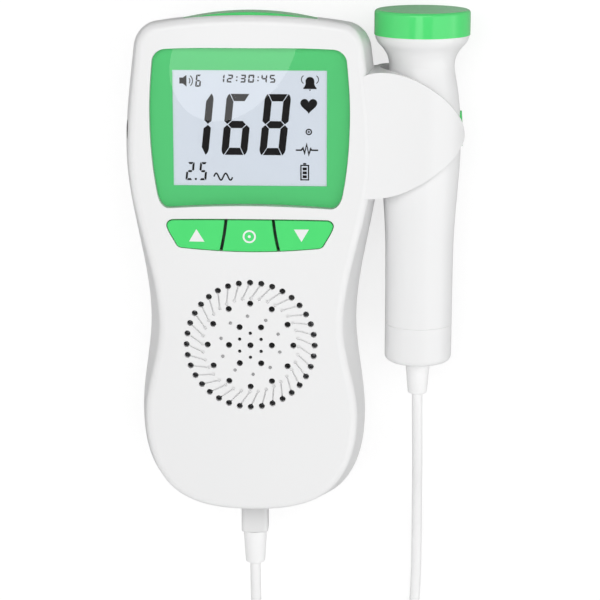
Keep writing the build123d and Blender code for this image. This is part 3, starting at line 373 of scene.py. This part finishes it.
def cells(place, per_mm, feature="F1"):
    """Distance from the middles, or to the edges, of small cells."""
    inputs = {"Vector": place, "Scale": per_mm / MM}
    return place.node("TexVoronoi", {"feature": feature}, inputs)


def relief(place, height, depth):
    """A bump of that depth in millimetres, from a height of 0 to 1."""
    return place.node("Bump", inputs={"Height": height, "Distance": depth * MM})


print("patterns can be made")

# %% [markdown]
# ## Moulded plastic
#
# The shells are white ABS with a satin surface. The mould is finely spark-eroded, so the plastic
# carries a grain that you feel rather than see: a very low bump. The same grain makes the gloss a
# little uneven, and slow clouds of tone keep a large white face from looking drawn.
#
# In the small recesses of the loudspeaker grille, shade is painted into the tone, darker with
# the depth below the face: clearly in the dimples near the middle, hardly in the grooves around
# them, and darkest down in the holes. The face is arched across its width, and near its middle a
# parabola follows that arch closely enough.
#
# The plug beyond the foot is a greyer white, with painted shade that is darkest in the corner
# where it meets the case, under the case's foot.

# %% White housing
WHITE = (0.885, 0.885, 0.885)
WHITE_SHADE = (0.865, 0.867, 0.87)
GRILLE_PAINTED_SHADE = (0.56, 0.56, 0.565)
HOLE_PAINTED_SHADE = (0.10, 0.10, 0.102)
FACE_Z = 34.0
FACE_ARCH_RADIUS = 300.0
GRILLE_Y = -25.1
GRILLE_REACH = 19.6
DIMPLE_REACH = 9.5
RECESS_SHADE_END = 1.4
RECESS_SHADE_LOST = 0.95
GROOVE_DEPTHS = (0.1, 0.5)
HOLE_DEPTHS = (0.8, 1.6)
PLUG_WHITE = (0.765, 0.765, 0.765)
PLUG_PAINTED_SHADE = (0.64, 0.64, 0.643)
PLUG_START_Y = -77.1
PLUG_END_Y = -86.0

place = new_finish("housing_white")
grain = noise(place, 2.2, detail=3)
across = axis_of(place, 0)
length = axis_of(place, 1)
along = length - GRILLE_Y
clouds = noise(place, 0.02).colour(WHITE_SHADE, WHITE)
# Painted shade on the plug, darkest where it meets the case's foot.
plug_shade_fade = length.fade(PLUG_START_Y, PLUG_END_Y)
tone = (length < PLUG_START_Y).colour(clouds, plug_shade_fade.colour(PLUG_PAINTED_SHADE, PLUG_WHITE))
reach = across * across + along * along
in_grille = reach < GRILLE_REACH ** 2
# Painted shade: the grille's recesses and holes darken with their depth below the face.
recess_shade_share = 1 - reach.fade(DIMPLE_REACH ** 2, RECESS_SHADE_END * DIMPLE_REACH ** 2) * RECESS_SHADE_LOST
depth = FACE_Z - across * across * (0.5 / FACE_ARCH_RADIUS) - axis_of(place, 2)
recess_shaded = (depth.fade(*GROOVE_DEPTHS) * in_grille * recess_shade_share).colour(tone, GRILLE_PAINTED_SHADE)
close_finish(place, principled(
    place,
    Base_Color=(depth.fade(*HOLE_DEPTHS) * in_grille).colour(recess_shaded, HOLE_PAINTED_SHADE),
    Roughness=0.26 + grain * 0.1,
    Normal=relief(place, grain, 0.003),
))
print("housing_white")

# %% [markdown]
# The keys, the power bar, the probe's cap and its pad are moulded in a mint green, with more
# polish than the housing. Coloured plastic shows flow: faint, long clouds of a slightly deeper
# tone.

# %% Green trim
GREEN = (0.098, 0.79, 0.205)
GREEN_DEEP = (0.085, 0.74, 0.19)

place = new_finish("trim_green")
grain = noise(place, 3.0, detail=3)
flow = noise(stretched(place, y=0.3), 0.12)
close_finish(place, principled(
    place,
    Base_Color=flow.colour(GREEN_DEEP, GREEN),
    Roughness=0.10 + grain * 0.05,
    Normal=relief(place, grain, 0.001),
))
print("trim_green")

# %% [markdown]
# ## The window
#
# The window is clear acrylic. Real refraction would move the display by less than a millimetre,
# so the light goes straight through: a Transparent shader, mixed by Fresnel with a mirror. The
# mirror is faint from above and strong at a flat angle, as on real acrylic.
#
# Behind it lies a printed film. Screen print leaves a fine mottle, and the ink is a flatter green
# than the trim.

# %% Window and printed film
ACRYLIC_IOR = 1.49
ACRYLIC_TINT = (0.99, 1.0, 0.99)
PRINT = (0.086, 0.63, 0.200)
PRINT_DEEP = (0.078, 0.60, 0.188)

place = new_finish("lens_clear")
clear = place.node("BsdfTransparent", inputs={"Color": as_colour(ACRYLIC_TINT)})
wear = noise(place, 0.6, detail=4)
gloss = place.node("BsdfGlossy", inputs={"Roughness": 0.004 + wear * 0.008})
outer_side = 1 - place.node("NewGeometry", output="Backfacing")
facing = place.node("Fresnel", inputs={"IOR": ACRYLIC_IOR}) * outer_side
close_finish(place, mixed(place, facing, clear, gloss))

place = new_finish("print_green")
mottle = noise(place, 4.0, detail=2)
close_finish(place, principled(
    place,
    Base_Color=mottle.colour(PRINT_DEEP, PRINT),
    Roughness=0.5 + mottle * 0.1,
    Normal=relief(place, mottle, 0.002),
))
print("lens_clear, print_green")

# %% [markdown]
# ## The display
#
# A liquid crystal display of this kind is a pale blue-grey sheet: polariser over a diffuser. Its
# light comes from the sides, and that light is painted into its colour: lighter towards the edges
# and a touch darker in the middle. The polariser has a fine brushed weave. The milky light guide
# behind it is strewn with white dots that let the light out.

# %% Display and light guide
DISPLAY_MIDDLE_Y = 36.1
DISPLAY_HALF = (22, 17)
PAINTED_EDGE_LIGHT = 0.2
DISPLAY_PALE = (0.77, 0.79, 0.92)
DISPLAY_GREY = (0.715, 0.748, 0.865)
DOT_WHITE = (0.92, 0.92, 0.92)
GUIDE_MILKY = (0.78, 0.80, 0.82)

place = new_finish("display_grey")
across = axis_of(place, 0) * (1 / DISPLAY_HALF[0])
along = (axis_of(place, 1) - DISPLAY_MIDDLE_Y) * (1 / DISPLAY_HALF[1])
# Painted light: the colour is lighter towards the display's edges.
edge = (across * across + along * along) * PAINTED_EDGE_LIGHT
weave = noise(stretched(place, x=0.1), 3.0) * 0.12
close_finish(place, principled(
    place,
    Base_Color=(edge + weave).colour(DISPLAY_GREY, DISPLAY_PALE),
    Roughness=0.45 + weave,
))

place = new_finish("diffuser_white")
dots = cells(stretched(place, z=0.0), 1.2)
close_finish(place, principled(
    place,
    Base_Color=dots.fade(0.25, 0.32).colour(DOT_WHITE, GUIDE_MILKY),
    Roughness=0.35 + dots * 0.2,
))
print("display_grey, diffuser_white")

# %% [markdown]
# ## The circuit board and its parts
#
# Green solder mask lies over copper traces, which shine through it as a lighter net. The edges of
# large cells stand for that net: they run straight, meet at angles and never cross. Components
# are black moulded epoxy with a matt grain.

# %% Board and components
MASK = (0.012, 0.11, 0.035)
MASK_ON_COPPER = (0.035, 0.24, 0.075)
EPOXY = (0.012, 0.012, 0.013)
EPOXY_PALE = (0.032, 0.032, 0.034)

place = new_finish("board_green")
trace = 1 - cells(stretched(place, z=0.0), 0.35, "DISTANCE_TO_EDGE").fade(0.02, 0.05)
close_finish(place, principled(
    place,
    Base_Color=trace.colour(MASK, MASK_ON_COPPER),
    Roughness=0.3 + trace * 0.12,
    Normal=relief(place, trace, 0.03),
))

place = new_finish("component_black")
grit = noise(place, 6.0, detail=3)
close_finish(place, principled(
    place,
    Base_Color=grit.colour(EPOXY, EPOXY_PALE),
    Roughness=0.5 + grit * 0.2,
    Normal=relief(place, grit, 0.01),
))
print("board_green, component_black")

# %% [markdown]
# ## Metals
#
# Metal gets its look from roughness that runs in one direction. Stretched noise gives the fine
# lines that rolling or turning leaves. The screws and the loudspeaker's basket are zinc plated
# steel, the battery contacts are nickel plated spring sheet, and the plug's barrel is turned
# brass. The probe's crystals are ceramic, but their silvered faces are metal as well.

# %% Plated and turned metal
def metal(name, dark, pale, rough, lines, depth=0.004):
    """A metal finish; lines scales the noise on X, Y and Z, and less makes longer lines."""
    place = new_finish(name)
    streak = noise(stretched(place, *lines), 3.0, detail=4)
    close_finish(place, principled(
        place,
        Base_Color=streak.colour(dark, pale),
        Metallic=1.0,
        Roughness=rough + streak * 0.15,
        Normal=relief(place, streak, depth),
    ))
    print(name)


ZINC, ZINC_PALE = (0.42, 0.43, 0.45), (0.60, 0.61, 0.63)
NICKEL, NICKEL_PALE = (0.50, 0.48, 0.44), (0.66, 0.63, 0.58)
BRASS, BRASS_PALE = (0.66, 0.49, 0.20), (0.86, 0.68, 0.33)
SILVERED, SILVERED_PALE = (0.52, 0.51, 0.49), (0.70, 0.69, 0.67)
metal("steel", ZINC, ZINC_PALE, rough=0.28, lines=(1, 0.05, 1))
metal("contact_nickel", NICKEL, NICKEL_PALE, rough=0.22, lines=(0.05, 1, 1))
metal("plug_metal", BRASS, BRASS_PALE, rough=0.16, lines=(0.02, 1, 0.02))
metal("crystal", SILVERED, SILVERED_PALE, rough=0.32, lines=(1, 1, 0.3), depth=0.01)

# %% [markdown]
# ## Cells, magnet and sound parts
#
# The cells wear a printed jacket, dark green with a pale band round the end that has the button.
# They lie opposite ways, so that end is at the head on the right and at the foot on the left. The
# magnet is sintered ferrite, dull and slightly pitted: its pits are small cells, deepest at their
# middles.

# %% Cells and magnet
CELL_MIDDLE_Y = -34.5
BAND_START = 12.0
BAND_EDGE = 0.2
JACKET_GREEN = (0.10, 0.28, 0.20)
JACKET_PALE = (0.55, 0.57, 0.58)
FERRITE = (0.018, 0.018, 0.020)
FERRITE_PALE = (0.045, 0.045, 0.048)

place = new_finish("cell_jacket")
on_right = axis_of(place, 0) > 0
towards_button = (axis_of(place, 1) - CELL_MIDDLE_Y) * (on_right * 2 - 1)
band = towards_button.fade(BAND_START, BAND_START + BAND_EDGE)
scuff = noise(place, 0.8, detail=4)
close_finish(place, principled(
    place,
    Base_Color=band.colour(JACKET_GREEN, JACKET_PALE),
    Roughness=0.22 + scuff * 0.15,
    Normal=relief(place, scuff, 0.01),
))

place = new_finish("ferrite")
pits = cells(place, 1.4)
close_finish(place, principled(
    place,
    Base_Color=pits.colour(FERRITE, FERRITE_PALE),
    Roughness=0.62 + pits * 0.15,
    Normal=relief(place, pits, 0.03),
))
print("cell_jacket, ferrite")

# %% [markdown]
# The loudspeaker's cone is dark grey paper, pressed from felted fibres, so its noise is stretched
# across. The gasket around it is open foam, whose pores are cells with soft edges.

# %% Paper and foam
PAPER = (0.26, 0.26, 0.264)
PAPER_PALE = (0.36, 0.36, 0.366)
PORE = (0.16, 0.16, 0.162)
FOAM = (0.30, 0.30, 0.304)

place = new_finish("paper_black")
fibres = noise(stretched(place, x=0.25), 2.4, detail=5)
close_finish(place, principled(
    place,
    Base_Color=fibres.colour(PAPER, PAPER_PALE),
    Roughness=0.75 + fibres * 0.1,
    Normal=relief(place, fibres, 0.03),
))

place = new_finish("foam_black")
pores = cells(place, 2.5).fade(0.15, 0.45)
close_finish(place, principled(
    place,
    Base_Color=pores.colour(PORE, FOAM),
    Roughness=0.85 + pores * 0.1,
    Normal=relief(place, pores, 0.12),
))
print("paper_black, foam_black")

# %% [markdown]
# ## Soft parts
#
# The lead and both strain reliefs are soft white PVC: a little whiter than the housing, with a
# dull satin skin and the faint waviness of an extruded jacket. The mat under the keys is grey
# silicone, which dust clings to. The block behind the crystals is dark epoxy, loaded with grains
# of metal powder.

# %% Lead, silicone and damping block
VINYL = (0.90, 0.90, 0.90)
VINYL_PALE = (0.93, 0.93, 0.93)
SILICONE = (0.23, 0.25, 0.26)
SILICONE_DUSTY = (0.34, 0.35, 0.36)
POWDER = (0.16, 0.15, 0.14)
BINDER = (0.030, 0.026, 0.024)

place = new_finish("cord_white")
skin = noise(place, 0.7, detail=4)
close_finish(place, principled(
    place,
    Base_Color=skin.colour(VINYL, VINYL_PALE),
    Roughness=0.42 + skin * 0.12,
    Normal=relief(place, skin, 0.03),
))

place = new_finish("silicone_grey")
dust = noise(place, 3.5, detail=5).fade(0.58, 0.7)
close_finish(place, principled(
    place,
    Base_Color=dust.colour(SILICONE, SILICONE_DUSTY),
    Roughness=0.6 + dust * 0.2,
    Normal=relief(place, dust, 0.01),
))

place = new_finish("damping_block")
powder = cells(place, 3.0)
close_finish(place, principled(
    place,
    Base_Color=powder.fade(0.1, 0.4).colour(POWDER, BINDER),
    Roughness=0.55 + powder * 0.2,
    Normal=relief(place, powder, 0.02),
))
print("cord_white, silicone_grey, damping_block")

# %% [markdown]
# ## Inks
#
# Two finishes are for marks that no solid stands for. The display's figures are liquid crystal
# that turns charcoal where it is switched on, a little uneven where the fluid is thin. They lie
# inside the display and not on it, so they have hardly a shine of their own. The keys' symbols are
# white pad print, with the small voids of such a print.

# %% Display ink and key print
CHARCOAL = (0.010, 0.009, 0.010)
CHARCOAL_THIN = (0.014, 0.012, 0.014)
PAD_PRINT = (0.86, 0.87, 0.86)
PAD_PRINT_VOID = (0.66, 0.80, 0.68)

place = new_finish("display_ink")
thin = noise(place, 1.2, detail=2)
close_finish(place, principled(
    place,
    Base_Color=thin.colour(CHARCOAL, CHARCOAL_THIN),
    Roughness=0.4 + thin * 0.1,
    Specular_IOR_Level=0.1,
))

place = new_finish("key_print")
inked = noise(place, 5.0, detail=2).fade(0.2, 0.35)
close_finish(place, principled(
    place,
    Base_Color=inked.colour(PAD_PRINT_VOID, PAD_PRINT),
    Roughness=0.5 - inked * 0.1,
))
print("display_ink, key_print")

# %% [markdown]
# The record says which slot each solid takes its finish from, so one loop hands them all out. The
# lead is a new piece, and takes the finish of the cord that it stands for.

# %% Hand the finishes out
for part in frame["record"]["subparts"]:
    solid = nodes[part["node"]]
    solid.data.materials.clear()
    solid.data.materials.append(finishes[part["material_slot"]])
lead.data.materials.append(finishes["cord_white"])
print(len(finishes), "finishes on", len(nodes), "solids")

# %% [markdown]
# ## Marks
#
# Every mark is a thin plate that lies on the surface under it. A flat closed curve is the easy
# way to draw one: Blender fills it, leaves out what lies inside a second outline, and gives it a
# thickness. A plate for a crowned key is also welded along its edges and sliced into narrow
# strips, because only its vertices can follow the key. All of this is done in millimetres.

# %% Cut a plate
WELD = 0.001


def flat_plate(name, outlines):
    """A mesh of closed outlines; its top is at z = 1 and its foot at z = -1."""
    data = bpy.data.curves.new(name, "CURVE")
    data.dimensions = "2D"
    data.fill_mode = "BOTH"
    data.extrude = 1.0
    for outline in outlines:
        spline = data.splines.new("POLY")
        spline.points.add(len(outline) - 1)
        for knot, (x, y) in zip(spline.points, outline):
            knot.co = (x, y, 0, 1)
        spline.use_cyclic_u = True
    return mesh_of(data)


def slice_plate(mesh, spacing):
    """Cuts a mesh across X at even spacing."""
    body = bmesh.new()
    body.from_mesh(mesh)
    bmesh.ops.remove_doubles(body, verts=body.verts, dist=WELD)
    low = min(vertex.co.x for vertex in body.verts)
    high = max(vertex.co.x for vertex in body.verts)
    for i in range(1, math.ceil((high - low) / spacing)):
        everything = body.verts[:] + body.edges[:] + body.faces[:]
        bmesh.ops.bisect_plane(
            body, geom=everything, plane_co=(low + i * spacing, 0, 0), plane_no=(1, 0, 0)
        )
    body.to_mesh(mesh)
    body.free()


print("plates can be cut")

# %% [markdown]
# A ray from far above finds the surface under each vertex. The top of the plate comes to stand a
# hair above that point, and its foot sinks a little into the solid, so that no gap shows at its
# edge. Here the millimetres turn into metres. The mark rides on the same body as what it is
# printed on.

# %% Lay a plate on a solid
FAR_ABOVE = 100
SUNK = 0.02


def lay_plate(name, outlines, on, body, finish, lift, spacing=None):
    """Lays a plate on the solid named on; lift is how far its top stands above, in mm."""
    mesh = flat_plate(name, outlines)
    if spacing:
        slice_plate(mesh, spacing)
    under = nodes[on].data
    corners = [vertex.co for vertex in under.vertices]
    surface = BVHTree.FromPolygons(corners, [face.vertices[:] for face in under.polygons])
    for vertex in mesh.vertices:
        start = Vector((vertex.co.x, vertex.co.y, FAR_ABOVE)) * MM
        hit = surface.ray_cast(start, Vector((0, 0, -1)))[0]
        rise = lift if vertex.co.z > 0 else -SUNK
        vertex.co = hit + Vector((0, 0, rise * MM))
    mesh.materials.append(finishes[finish])
    piece = bpy.data.objects.new(name, mesh)
    bpy.context.scene.collection.objects.link(piece)
    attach(piece, body)


print("plates can be laid")

# %% [markdown]
# The outlines come from three simple shapes: an arc, a line of even width through some points, and
# a box. At a sharp corner a mitre would shoot far out, so its length has a limit.

# %% Draw outlines
MITRE_LIMIT = 0.35


def arc(x, y, radius, start=0, end=360, steps=24):
    """Points along an arc, with its angles in degrees."""
    angles = [math.radians(start + (end - start) * i / steps) for i in range(steps + 1)]
    points = [(x + radius * math.cos(a), y + radius * math.sin(a)) for a in angles]
    return points[:-1] if end - start == 360 else points


def stroke(points, width):
    """The outline of a line of that width through the points, mitred at its corners."""
    left, right = [], []
    for i, (x, y) in enumerate(points):
        before = points[max(i - 1, 0)]
        after = points[min(i + 1, len(points) - 1)]
        arriving = Vector((x - before[0], y - before[1]))
        leaving = Vector((after[0] - x, after[1] - y))
        arriving = (arriving if i else leaving).normalized()
        leaving = (leaving if leaving.length else arriving).normalized()
        along = (arriving + leaving).normalized()
        reach = width / 2 / max(along.dot(leaving), MITRE_LIMIT)
        left.append((x - along.y * reach, y + along.x * reach))
        right.append((x + along.y * reach, y - along.x * reach))
    return left + right[::-1]


def box(x_low, y_low, x_high, y_high):
    """The four corners of a rectangle."""
    return [(x_low, y_low), (x_high, y_low), (x_high, y_high), (x_low, y_high)]


print("outlines can be drawn")

# %% [markdown]
# ## Digits
#
# A seven-segment digit is one shape used many times. The upright bar at the top left is drawn
# once, in a digit that stands upright: round at its outer corner, cut slantwise where it meets
# the top bar, and pointed at the middle. Its mirror images give the other three uprights. Its
# corners are shares of the bar's width, so that one rule serves large and small digits.

# %% Draw the upright bar
NOTCH = 0.45
SHOULDER = 0.42
ROUND_DEPTH = 0.75
ROUND_WIDTH = 0.9
ROUND_ANGLES = (0, 0.5, 1.0, 1.3)


def upright_bar(height, bar, gap):
    """The bar at the top left, from the middle of the digit to its top."""
    middle = height / 2
    notch = NOTCH * bar
    corner = [
        (notch - ROUND_WIDTH * notch * math.cos(a), height - ROUND_DEPTH * bar * (1 - math.sin(a)))
        for a in ROUND_ANGLES
    ]
    corner[0] = (0, corner[0][1])
    return [
        (0, middle + SHOULDER * bar + gap / 2),
        *corner,
        (notch - gap / 2, height),
        (bar, height - bar - gap / 2),
        (bar, middle + bar / 2 + gap / 2),
        (notch, middle + gap / 2),
    ]


print("an upright bar, rounded through", len(ROUND_ANGLES), "points")

# %% [markdown]
# The top bar and the middle bar complete the set of seven, which are known by the letters a to g.
# A table says which of them each figure lights.

# %% Draw a digit
SEGMENTS = {
    "0": "abcdef", "1": "bc", "2": "abged", "3": "abgcd", "4": "fgbc",
    "5": "afgcd", "6": "afgedc", "7": "abc", "8": "abcdefg", "9": "abcdfg",
}


def digit_bars(figure, width, height, bar, gap):
    """The outlines of one upright digit, with its lower left corner at the origin."""
    middle = height / 2
    notch = NOTCH * bar
    side = upright_bar(height, bar, gap)
    top = [
        (notch + gap / 2, height),
        (width - notch - gap / 2, height),
        (width - bar - gap / 2, height - bar),
        (bar + gap / 2, height - bar),
    ]
    bridge = [
        (notch + gap, middle),
        (bar + gap / 2, middle + bar / 2),
        (width - bar - gap / 2, middle + bar / 2),
        (width - notch - gap, middle),
        (width - bar - gap / 2, middle - bar / 2),
        (bar + gap / 2, middle - bar / 2),
    ]
    bars = {
        "a": top,
        "b": [(width - x, y) for x, y in side],
        "c": [(width - x, height - y) for x, y in side],
        "d": [(x, height - y) for x, y in top],
        "e": [(x, height - y) for x, y in side],
        "f": side,
        "g": bridge,
    }
    return [bars[letter] for letter in SEGMENTS[figure]]


print(len(SEGMENTS), "figures")

# %% [markdown]
# The finished digits stand in a row and lean over to the right: each point moves sideways by a
# share of its height.

# %% Set digits in a row
DIGIT_LEAN = 0.105


def digits(figures, lefts, foot, width, height, bar, gap):
    """The outlines of several leaning digits, each with its own left edge."""
    outlines = []
    for figure, left in zip(figures, lefts):
        for outline in digit_bars(figure, width, height, bar, gap):
            outlines.append([(left + x + DIGIT_LEAN * y, foot + y) for x, y in outline])
    return outlines


print("digits can be set")

# %% [markdown]
# The display shows a large heart rate, the volume, a running clock and the probe's frequency.
# Numbers and plain symbols say all of it, so there are no words. One plate holds the large
# digits, and one each the small digits and the symbols.

# %% Put the figures on the display
DISPLAY_LIFT = 0.03


def on_display(name, outlines):
    """Lays marks on the display."""
    lay_plate(name, outlines, "lcd_panel", "main_unit", "display_ink", lift=DISPLAY_LIFT)


rate = digits("168", (-18.8, -8.05, 2.5), 28.64, width=7.2, height=17.0, bar=2.0, gap=0.26)
on_display("rate_digits", rate)

frequency = digits("25", (-18.05, -14.4), 21.45, width=2.15, height=5.1, bar=0.58, gap=0.2)
frequency.append(arc(-15.15, 21.78, 0.3))
volume = digits("6", (-15.05,), 47.54, width=1.5, height=3.35, bar=0.42, gap=0.1)
clock_lefts = (-8.64, -6.34, -2.77, -0.47, 3.09, 5.39)
clock = digits("123045", clock_lefts, 48.76, width=1.6, height=2.2, bar=0.4, gap=0.05)
for colon_x in (-3.56, 2.31):
    clock += [arc(colon_x, 49.35, 0.21), arc(colon_x + 0.08, 50.3, 0.21)]
on_display("small_digits", frequency + volume + clock)
print(len(rate) + len(frequency) + len(volume) + len(clock), "bars and dots")

# %% [markdown]
# The symbols are a loudspeaker with two sound waves, a ringing bell, a heart, a recording ring, a
# pulse line, a wave for the frequency and a battery. Arcs and straight lines draw most of them.
# The heart is a curve with a well-known formula.

# %% Draw the loudspeaker, the bell and the heart
HEART_X, HEART_Y, HEART_SCALE = 16.28, 42.61, 0.146
HEART_POINTS = 48

speaker = [[
    (-19.36, 48.4), (-18.4, 48.4), (-17.4, 47.55), (-17.4, 50.8), (-18.4, 50.05), (-19.36, 50.05),
]]
speaker.append(stroke(arc(-17.6, 49.2, 1.14, -38, 38, 10), 0.26))
speaker.append(stroke(arc(-17.6, 49.2, 1.86, -48, 48, 14), 0.26))

bell_skirt = [(17.8, 48.4), (18.05, 47.8), (18.42, 47.4), (18.42, 47.1), (14.76, 47.1)]
bell_skirt += [(14.76, 47.4), (15.12, 47.8), (15.4, 48.4)]
bell = [arc(16.6, 49.2, 1.22, 180, 0, 16) + bell_skirt, arc(16.6, 46.95, 0.3, 180, 360, 8)]
bell.append(stroke(arc(15.5, 49.7, 1.25, 122, 238, 10), 0.22))
bell.append(stroke(arc(17.7, 49.7, 1.25, -58, 58, 10), 0.22))

heart = []
for i in range(HEART_POINTS):
    t = math.tau * i / HEART_POINTS
    x = 16 * math.sin(t) ** 3
    y = 13 * math.cos(t) - 5 * math.cos(2 * t) - 2 * math.cos(3 * t) - math.cos(4 * t)
    heart.append((HEART_X + HEART_SCALE * x, HEART_Y + HEART_SCALE * y))
print(len(speaker) + len(bell) + 1, "outlines")

# %% [markdown]
# The rest are lines of one width, rings and boxes. The pulse line runs through a few corners, and
# the wave through many points of a sine. Inside the battery's outline, its charge stands as bars.

# %% Draw the other symbols and lay them all
record_ring = [arc(16.3, 35.2, 0.9), arc(16.3, 35.2, 0.55), arc(16.3, 35.2, 0.28)]
beat = [(12.7, 30.1), (14.2, 30.1), (14.7, 30.7), (15.15, 29.3), (15.7, 31.7), (16.3, 28.9)]
pulse = stroke(beat + [(16.8, 30.5), (17.1, 30.1), (18.9, 30.1)], 0.42)
wave_points = [(-10.1 + 0.13 * i, 22.5 + 0.95 * math.sin(0.31 * i)) for i in range(41)]
wave = stroke(wave_points, 0.42)

battery = [box(13.95, 21.6, 16.4, 26.0), box(14.3, 21.95, 16.05, 25.65)]
battery += [box(14.75, 26.05, 15.6, 26.5)]
battery += [box(14.6, 22.25 + 1.1 * i, 15.75, 23.05 + 1.1 * i) for i in range(3)]

symbols = [*speaker, *bell, heart, *record_ring, pulse, wave, *battery]
on_display("symbols", symbols)
print(len(symbols), "outlines of symbols")

# %% [markdown]
# The keys carry an arrow up, a ring and an arrow down, printed in white on their crowned tops. Each
# print rides on its own key.

# %% Print the symbols on the keys
PRINT_LIFT = 0.012
PRINT_SLICE = 0.5


def on_key(name, outlines, key):
    """Lays a print on a key."""
    lay_plate(name, outlines, key, key, "key_print", lift=PRINT_LIFT, spacing=PRINT_SLICE)


arrow_up = [(-14.88, 8.2), (-16.95, 4.65), (-12.65, 4.65)]
arrow_down = [(12.32, 8.32), (14.4, 4.8), (16.48, 8.32)]
ring = [arc(-0.1, 6.25, 1.85, steps=40), arc(-0.1, 6.25, 1.35, steps=40)]
ring.append(arc(-0.1, 6.25, 0.42))
on_key("arrow_up", [arrow_up], "key_up")
on_key("arrow_down", [arrow_down], "key_down")
on_key("select_ring", ring, "key_ok")
print("three key symbols")

# %% [markdown]
# ## The table and the light
#
# The object lies on a wide, flat table. A single face is enough for it, laid a hair lower than
# the object's foot, so that the two never share a plane.

# %% Lay the table
TABLE_SIZE = 8.0
TABLE_SINK = 0.05

half = TABLE_SIZE / 2
corners = [(x, y, -TABLE_SINK * MM) for x, y in box(-half, -half, half, half)]
table_mesh = bpy.data.meshes.new("table")
table_mesh.from_pydata(corners, [], [(0, 1, 2, 3)])
table = bpy.data.objects.new("table", table_mesh)
bpy.context.scene.collection.objects.link(table)
print("table of", TABLE_SIZE, "m")

# %% [markdown]
# The table is white. Lamps alone would leave it light grey, so for the camera part of its white is
# its own: an Emission shader. The rest is lit, so the object still has its soft shadow. Away from
# the object the white is all its own, and the table runs into the room without a horizon; mirrors
# and glass show that white too.
#
# Near the object the other rays meet plain card instead. A middle tone for the light that bounces
# keeps the object's sides modelled, and a darker one for mirrored rays keeps the end of the
# probe's cap, which mirrors the table at a flat angle, from turning pale. A Light Path node tells
# which kind of ray is asking.

# %% Finish the table
TABLE_WHITE = 1.02
TABLE_LIT = 0.34
LIGHT_ON_TABLE = 0.9
TABLE_CARD = 0.62
TABLE_MIRRORED = 0.44
TABLE_FADE = (0.25, 0.9)


def rays_of(wire, kind):
    """1 for rays of one kind, such as Camera, and 0 for others."""
    return wire.node("LightPath", output="Is " + kind + " Ray")


def card_of(place, grey):
    """A matt card of that grey."""
    return place.node("BsdfDiffuse", inputs={"Color": (grey, grey, grey, 1)})


place = new_finish("table_white")
seen = rays_of(place, "Camera") + rays_of(place, "Transmission")
mirrored = rays_of(place, "Glossy")
own = place.node("Emission", inputs={"Strength": TABLE_WHITE - TABLE_LIT * LIGHT_ON_TABLE})
white = place.node("Emission", inputs={"Strength": 1.0})
card = mixed(place, mirrored, card_of(place, TABLE_CARD), card_of(place, TABLE_MIRRORED))
lit = place.node("AddShader", inputs={0: card_of(place, TABLE_LIT), 1: own})
distance = place.node("VectorMath", {"operation": "LENGTH"}, {0: place}, output="Value")
far = distance.fade(*TABLE_FADE) * (seen + mirrored)
close_finish(place, mixed(place, far, mixed(place, seen, card, lit), white))
table_mesh.materials.append(finishes["table_white"])
print("table_white")

# %% [markdown]
# The room around the table is a pale studio, and the camera sees it white. For light it is darker
# towards the head end, so that the faces that look that way stand out from the front. For
# reflections it is white at the table's edge and darker overhead, so that the glossy window,
# which faces straight up, doesn't turn milky.

# %% Build the room
ROOM_LIGHT = 0.58
HEADWARD_LOSS = 0.38
HEADWARD_FADE = (-0.3, 0.7)
OVERHEAD_LOSS = 0.92
OVERHEAD_FADE = (0.0, 0.5)

world = bpy.data.worlds.new("studio")
world.use_nodes = True
world.node_tree.nodes.clear()
bpy.context.scene.world = world
direction = add_node(world.node_tree, "TexCoord", output="Generated")
headward = direction.node("SeparateXYZ", inputs={0: direction}, output="Y")
height = direction.node("SeparateXYZ", inputs={0: direction}, output="Z")
seen = rays_of(direction, "Camera") + rays_of(direction, "Transmission")
mirrored = rays_of(direction, "Glossy")
reflected = 1 - height.fade(*OVERHEAD_FADE) * OVERHEAD_LOSS
shed = ROOM_LIGHT - headward.fade(*HEADWARD_FADE) * HEADWARD_LOSS
level = shed + mirrored * (reflected - shed)
level = level + seen * (1 - level)
room = direction.node("Background", inputs={"Color": (1, 1, 1, 1), "Strength": level})
direction.node("OutputWorld", inputs={"Surface": room})
print("room built")

# %% [markdown]
# A wide soft box hangs over the head end. Two large panels stand at the sides, the right one the
# stronger, and shade the round probe from left to right. They are wide, so that the glossy cap
# mirrors no hard strips. One small oval lamp is there for the window alone: it lights no matt
# surface, but the window mirrors it as a pale patch in the upper left.

# %% Hang the lamps
LAMPS_AIM = Vector((0.015, -0.01, 0.02))
PATCH_TURN = math.radians(7)


def lamp(name, place, power, width, depth, shape="RECTANGLE"):
    """A soft lamp that points at the object; places and sizes are in metres."""
    data = bpy.data.lights.new(name, "AREA")
    data.shape = shape
    data.size = width
    data.size_y = depth
    data.energy = power
    hung = bpy.data.objects.new(name, data)
    hung.location = place
    hung.rotation_euler = (LAMPS_AIM - Vector(place)).to_track_quat("-Z", "Y").to_euler()
    bpy.context.scene.collection.objects.link(hung)
    return hung


lamp("overhead", (-0.1, 0.43, 1.2), power=6.7, width=1.3, depth=0.6)
lamp("right_panel", (1.0, -0.2, 0.75), power=6.4, width=1.4, depth=1.4)
lamp("left_panel", (-1.0, -0.1, 0.75), power=2.4, width=1.1, depth=1.1)
patch = lamp(
    "window_patch", (-0.108, -0.061, 1.03), power=0.2, width=0.342, depth=0.103, shape="ELLIPSE"
)
patch.rotation_euler = (0, 0, PATCH_TURN)
patch.visible_diffuse = False
print("lamps hung")
